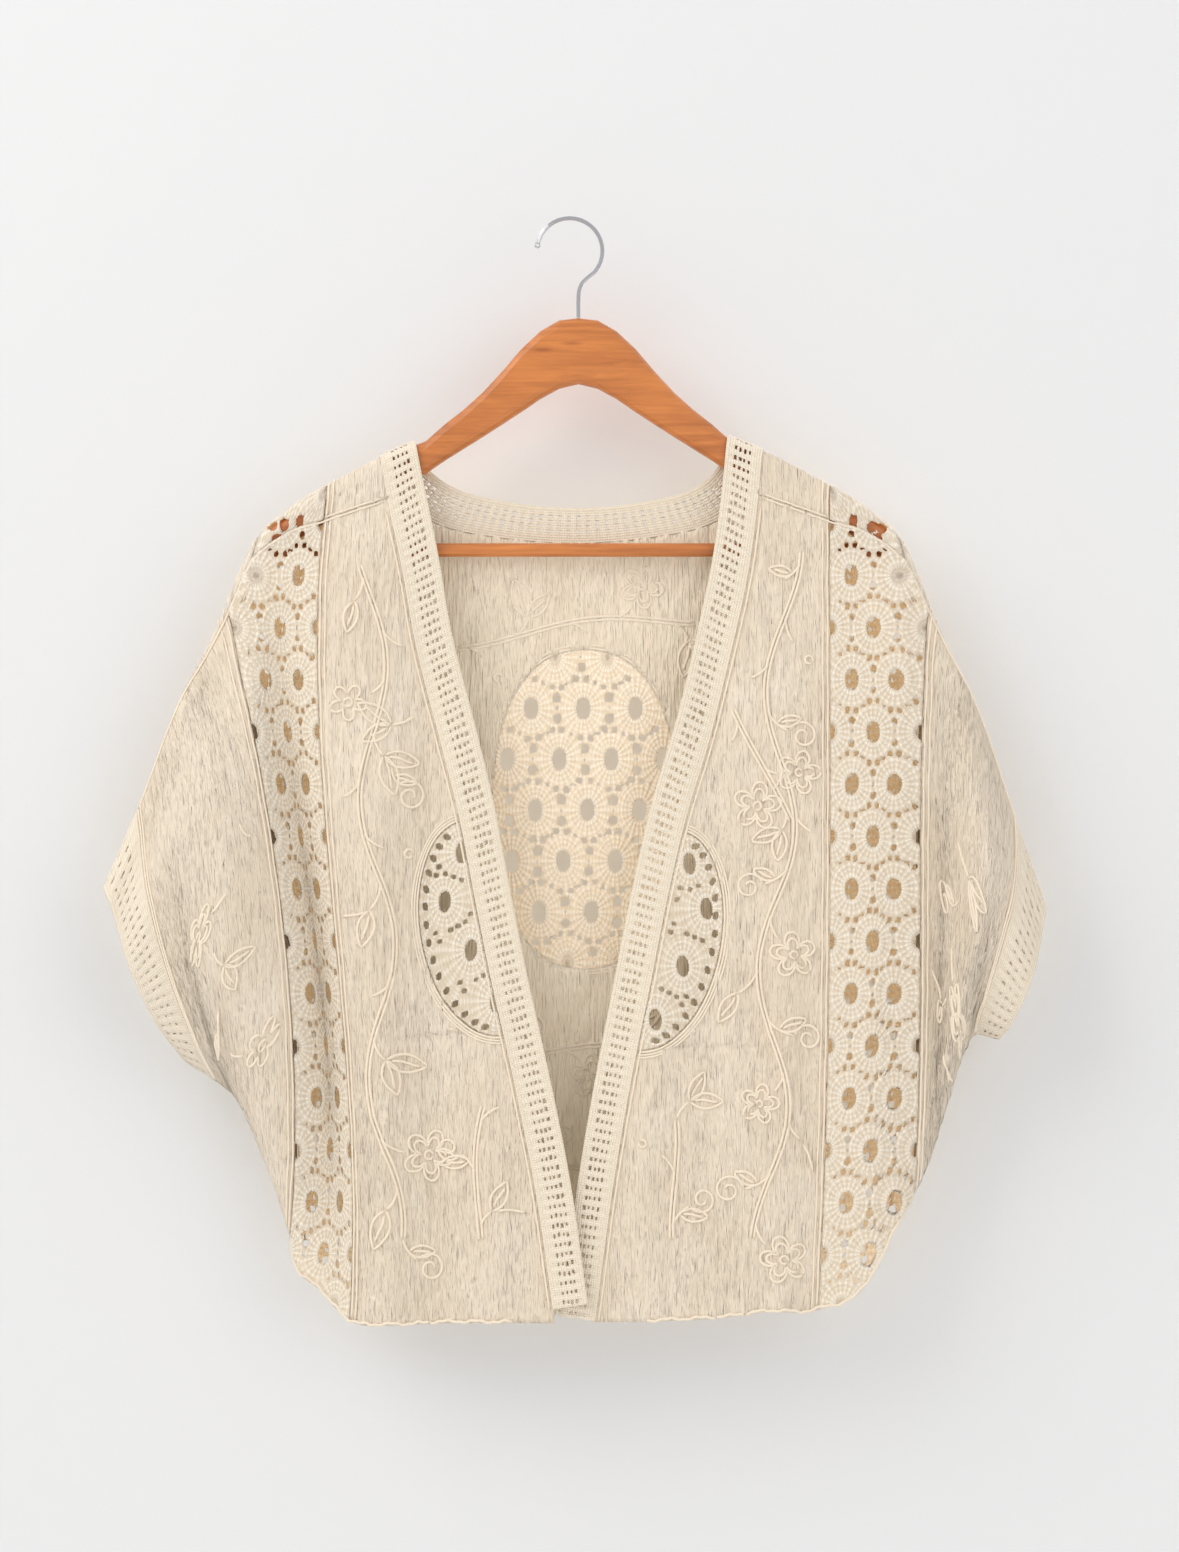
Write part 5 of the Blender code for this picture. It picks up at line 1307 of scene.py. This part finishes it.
# Front bands and neck band: knitted ladder ribs, one strip down each front edge and one
# round the back of the neck, with dense selvages and four slits in every rung between them.
RIB_PITCH = 0.0065
LADDER_CELL = 0.0011
SLITS = {"count": 4, "first": 0.0068, "pitch": 0.0031, "size": (0.0015, 0.0030)}


def ladder_relief(length, wide, width):
    """Height of a ladder band: a rounded rib across each rung, lower over the selvages,
    whose edges are rolled.
    """
    rib = 0.5 + 0.5 * np.cos(2 * math.pi * length / RIB_PITCH)
    inner = ease((wide - 0.002) / 0.002) * ease((width - 0.002 - wide) / 0.002)
    roll = np.exp(-((wide - 0.0012) / 0.0010) ** 2) + np.exp(-((width - 0.0012 - wide) / 0.001) ** 2)
    return 0.0005 + 0.0005 * rib * inner + 0.0004 * roll


def ladder_piece(name, first, last, width, slits, lap=None):
    """A ladder band between two chart lines with as many points. Its grid is laid out flat,
    distance along it and across it; the slits are cut there, and it is then carried over
    to the chart along straight rungs.
    """
    run = along_line((first + last) / 2)
    rungs = round(run[-1] / RIB_PITCH)
    down = np.linspace(0, rungs * RIB_PITCH, rungs * round(RIB_PITCH / LADDER_CELL) + 1)
    over = np.linspace(0, width, round(width / LADDER_CELL) + 1)
    flat = np.stack(np.meshgrid(down, over, indexing="ij"), -1)
    holes = []
    for rung in range(rungs):
        for slit in range(slits["count"]):
            middle = ((rung + 0.5) * RIB_PITCH, slits["first"] + slit * slits["pitch"])
            half = np.array([slits["size"][1] / 2, slits["size"][0] / 2])
            middle = middle + rng.normal(0, 0.00018, 2)
            corners = np.array([(-1, -0.6), (-0.6, -1), (0.6, -1), (1, -0.6),
                                (1, 0.6), (0.6, 1), (-0.6, 1), (-1, 0.6)])
            holes.append(middle + corners * half * rng.uniform(0.75, 1.1))
    moved, keep = cut_grid(flat, LADDER_CELL, holes=holes)
    place = moved[..., 0] * run[-1] / (rungs * RIB_PITCH)
    share = (moved[..., 1] / width)[..., None]
    ends = [np.stack([np.interp(place, run, line[:, k]) for k in (0, 1)], -1)
            for line in (first, last)]
    points = ends[0] * (1 - share) + ends[1] * share
    height = ladder_relief(moved[..., 0], moved[..., 1], width)
    # The relief level also darkens the band's colour between its ribs, as painted shade.
    level = np.clip((height - 0.0004) / 0.0008, 0, 1)
    return shell_piece(name, points, ribbing, (0.0009 - 0.5 * height, 0.0010 + height), keep,
                       level, lap, moved)


def ladder_finish():
    """Ivory cotton yarn in upright knitted stitches, seen as fine bumps along each rib, with
    painted shade: the colour darker between stitches and where the relief is low.
    """
    finish = Finish("band_yarn", Roughness=0.85, Sheen_Weight=0.2, Sheen_Roughness=0.6)
    down, over = finish.stitch_place(0), finish.stitch_place(1)
    stitches = down.join("COSINE", over * 3700.0, 0.0)
    rows = down.join("COSINE", down * (4 * 2 * math.pi / RIB_PITCH), 0.0)
    fuzz = finish.grain((1300, 1300), 2.0, 0.6)
    yarn = (stitches * 0.35 + rows * 0.3 + (fuzz - 0.5) * 1.0 + 0.5).between(0.0, 1.0)
    level = finish.attribute("relief")
    # Painted shade: the colour darkens between stitches and where the relief is low, over random
    # fuzz.
    tone = (yarn * 0.5 + level * 0.5 + 0.1).between(0.0, 1.0)
    finish.feed("Base Color", finish.blend(tone, (0.73, 0.605, 0.435, 1), (0.935, 0.84, 0.685, 1)))
    finish.feed("Normal", finish.bump(yarn, 0.0005))
    return finish.material


ribbing = ladder_finish()
for side, sign in SIDES.items():
    free, seam = BAND_LINES[side]
    seam = seam + (free - seam) * CUT_GAP / BAND_WIDTH
    piece = ladder_piece("band_front_" + side, free, seam, BAND_WIDTH, SLITS, side)
    sew("front_band_" + side)
free, seam = neck_band_lines()
seam = seam + (free - seam) * CUT_GAP / BAND_WIDTH
piece = ladder_piece("band_neck", free, seam, BAND_WIDTH, SLITS)
sew("neck_band")

# Cuffs: the same ladder knitting, its ribs running out to the free edge, all round the end
# of each sleeve.
CUFF_SLITS = {"count": 3, "first": 0.0110, "pitch": 0.0062, "size": (0.0030, 0.0010)}
for side, sign in SIDES.items():
    share = np.linspace(-1, 1, 161)
    lines = [np.stack([np.full(161, sign * place), share * foot(np.full(161, sign * place))], -1)
             for place in (CUFF_SEAM + CUT_GAP, CUFF_EDGE)]
    piece = ladder_piece("knit_cuff_" + side, *lines, CUFF_WIDTH, CUFF_SLITS)
    sew("cuff_" + side)

# Seams and hem: doubled cotton cords sewn along every seam, a rib of dense stitches round
# each oval and half oval, and a rolled, overlocked edge along the hem.
SEAM_CORDS = (BODY_HALF - 0.0048, BODY_HALF - 0.0016, STRIP_EDGE + 0.0016, STRIP_EDGE + 0.0048)
CUFF_CORDS = (CUFF_SEAM - 0.0030, CUFF_SEAM - 0.0010)
RIM_CORDS = (0.0012, 0.0032, 0.0050)
OVAL_CORDS = (0.0012, 0.0034)


def down_cord(across, face, end, sway=0.0):
    """A chart line down the cloth at one place across, to a share of its length."""
    share = np.linspace(0, end, 120)
    wave = sway * np.sin(share * 60)
    return np.stack([across + wave, way_down(np.full(120, across), face, share)], -1)


def hem_cord(name, across, face, lap=None):
    """The rolled hem: a thick cord just above the cloth's end, uneven by two sines."""
    wave = 0.0007 * np.sin(across / 0.0035) + 0.0005 * np.sin(across / 0.0013)
    line = np.stack([across, face * (foot(across) - 0.0012) + wave], -1)
    yarn_piece(name, [line], lap, None, 0.0013, 0.0002, 0.0022)


def cross_cord(near, far, drop):
    """A chart line along the shoulder seam, a little above or below it."""
    across = np.linspace(near, far, 90)
    return np.stack([across, shoulder(across) + drop], -1)


for side, sign in SIDES.items():
    lines = []
    for place in SEAM_CORDS:
        for face in (1, -1):
            lines.append(down_cord(sign * place, face, 0.997, 0.0002))
    start = abs(front_inner_edge(side, np.array([0.036]), False)[0]) + 0.002
    for drop in (-0.0014, 0.0014):
        lines.append(cross_cord(sign * start, sign * (BODY_HALF if drop < 0 else CUFF_SEAM), drop))
    for place in CUFF_CORDS:
        for face in (1, -1):
            lines.append(down_cord(sign * place, face, 0.99))
    yarn_piece("seam_cords_" + side, lines, lift=0.0007, step=0.004)
    free, sewn = BAND_LINES[side]
    rim = []
    for margin in RIM_CORDS:
        rim.append(half_oval_loop(side, margin)[:-2])
    away = sewn + (sewn - free) * 0.0018 / BAND_WIDTH
    rim.append(away[away[:, 1] > 0.04])
    yarn_piece("band_seam_" + side, rim, side, None, 0.0009, 0.0005, 0.003)
    hem_cord("hem_edge_" + side, np.linspace(sign * 0.045, sign * (STRIP_EDGE - 0.001), 140), 1, side)
hem_cord("hem_edge_back", np.linspace(-STRIP_EDGE + 0.001, STRIP_EDGE - 0.001, 320), -1)
rim = [np.concatenate([back_oval(margin), back_oval(margin)[:1]]) for margin in OVAL_CORDS]
yarn_piece("oval_edge_back", rim, None, None, 0.0009, 0.0006, 0.003)

# Hanger: a flat wooden frame with a turned cross bar, varnished orange brown, and a bright
# steel hook screwed into it. The frame's own solids stay and get their finishes here.


def wood_finish():
    """Varnished orange brown wood: grain that runs along the arms, and a few small knots."""
    finish = Finish("varnished_wood", Roughness=0.38, Coat_Weight=0.25, Coat_Roughness=0.25)
    place = finish.node("ShaderNodeTexCoord", {}, {}, "Object")
    sideways = finish.node("ShaderNodeMapping", {}, {"Vector": place, "Scale": (16, 60, 210)})
    grain = finish.node("ShaderNodeTexNoise", {}, {"Vector": sideways, "Scale": 1.0, "Detail": 5.0,
                                                   "Roughness": 0.6, "Distortion": 0.6})
    broad = finish.node("ShaderNodeMapping", {}, {"Vector": place, "Scale": (9, 20, 40)})
    cloud = finish.node("ShaderNodeTexNoise", {}, {"Vector": broad, "Scale": 1.0, "Detail": 2.0})
    spots = finish.node("ShaderNodeTexVoronoi", {}, {"Vector": broad, "Scale": 1.7})
    knot = (1.0 - spots * 7.0).between(0.0, 1.0)
    tone = ((grain - 0.5) * 1.6 + (cloud - 0.5) * 0.9 + 0.55 - knot * 0.7).between(0.0, 1.0)
    finish.feed("Base Color", finish.blend(tone, (0.34, 0.092, 0.015, 1), (0.68, 0.228, 0.046, 1)))
    finish.feed("Roughness", grain * 0.15 + 0.30)
    return finish.material


wood = wood_finish()
chrome = Finish("bright_steel", Base_Color=(0.50, 0.50, 0.51, 1), Metallic=1.0,
                Roughness=0.16).material
for node, finish in (("hanger_arms", wood), ("hanger_bar", wood), ("hanger_hook", chrome)):
    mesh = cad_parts[node].data
    mesh.materials.clear()
    mesh.materials.append(finish)

# The wall behind the cardigan, which can be seen through from behind, a pale floor below it,
# a large window light from the upper left, a weak fill, a lamp for the back and a pale room.
WALL_Y = 0.052
FLOOR_Z = -1.45


def plane(name, corners, finish):
    """One flat face of the stage."""
    mesh = bpy.data.meshes.new(name)
    mesh.from_pydata(corners, [], [(0, 1, 2, 3)])
    mesh.materials.append(finish)
    thing = bpy.data.objects.new(name, mesh)
    bpy.context.scene.collection.objects.link(thing)
    return thing


wall_finish = Finish("wall_paint", Base_Color=(0.73, 0.73, 0.725, 1), Roughness=0.9)
behind = wall_finish.node("ShaderNodeNewGeometry", {}, {}, "Backfacing")
clear = wall_finish.tree.nodes.new("ShaderNodeBsdfTransparent")
mix = wall_finish.tree.nodes.new("ShaderNodeMixShader")
wall_finish.tree.links.new(behind.socket, mix.inputs[0])
wall_finish.tree.links.new(wall_finish.shader.outputs[0], mix.inputs[1])
wall_finish.tree.links.new(clear.outputs[0], mix.inputs[2])
wall_finish.tree.links.new(mix.outputs[0], wall_finish.tree.nodes["Material Output"].inputs[0])
wall = plane("wall", [(-3, WALL_Y, FLOOR_Z), (3, WALL_Y, FLOOR_Z), (3, WALL_Y, 2), (-3, WALL_Y, 2)],
             wall_finish.material)
wall.visible_shadow = False
plane("floor", [(-3, -4, FLOOR_Z), (3, -4, FLOOR_Z), (3, 3, FLOOR_Z), (-3, 3, FLOOR_Z)],
      Finish("floor_paint", Base_Color=(0.80, 0.80, 0.79, 1), Roughness=0.9).material)


def lamp(name, place, aim, size, power, colour=(1, 1, 1)):
    """A soft square light at a place, turned to face a point."""
    light = bpy.data.lights.new(name, "AREA")
    light.shape = "SQUARE"
    light.size = size
    light.energy = power
    light.color = colour
    thing = bpy.data.objects.new(name, light)
    thing.location = place
    away = np.array(place) - np.array(aim)
    flat = math.hypot(away[0], away[1])
    thing.rotation_euler = (math.atan2(flat, away[2]), 0, math.atan2(away[1], away[0]) + math.pi / 2)
    bpy.context.scene.collection.objects.link(thing)
    return thing


MIDDLE = (0.0135, 0.0, -0.3776)
lamp("window", (-2.1, -1.5, 1.5), MIDDLE, 2.3, 50, (1.0, 0.985, 0.96))
lamp("fill", (1.9, -2.4, 0.1), MIDDLE, 2.4, 17, (1.0, 0.99, 0.975))
lamp("behind", (0.6, 2.2, 0.6), MIDDLE, 2.0, 70)
world = bpy.data.worlds.new("room")
world.use_nodes = True
world.node_tree.nodes["Background"].inputs["Color"].default_value = (0.97, 0.97, 1.0, 1)
world.node_tree.nodes["Background"].inputs["Strength"].default_value = 0.80
bpy.context.scene.world = world

bpy.context.scene.view_settings.view_transform = "Standard"

# The camera: level, square to the wall and far off, as in the photograph, with a lens that
# takes in the height of its frame.
CAMERA_FAR = 2.6
FRAME_TALL = 1.0544
SENSOR = 36.0
camera = bpy.data.cameras.new("camera")
camera.sensor_width = SENSOR
camera.lens = SENSOR * CAMERA_FAR / FRAME_TALL
eye = bpy.data.objects.new("camera", camera)
eye.location = (MIDDLE[0], -CAMERA_FAR, MIDDLE[2])
eye.rotation_euler = (math.pi / 2, 0, 0)
bpy.context.scene.collection.objects.link(eye)
bpy.context.scene.camera = eye
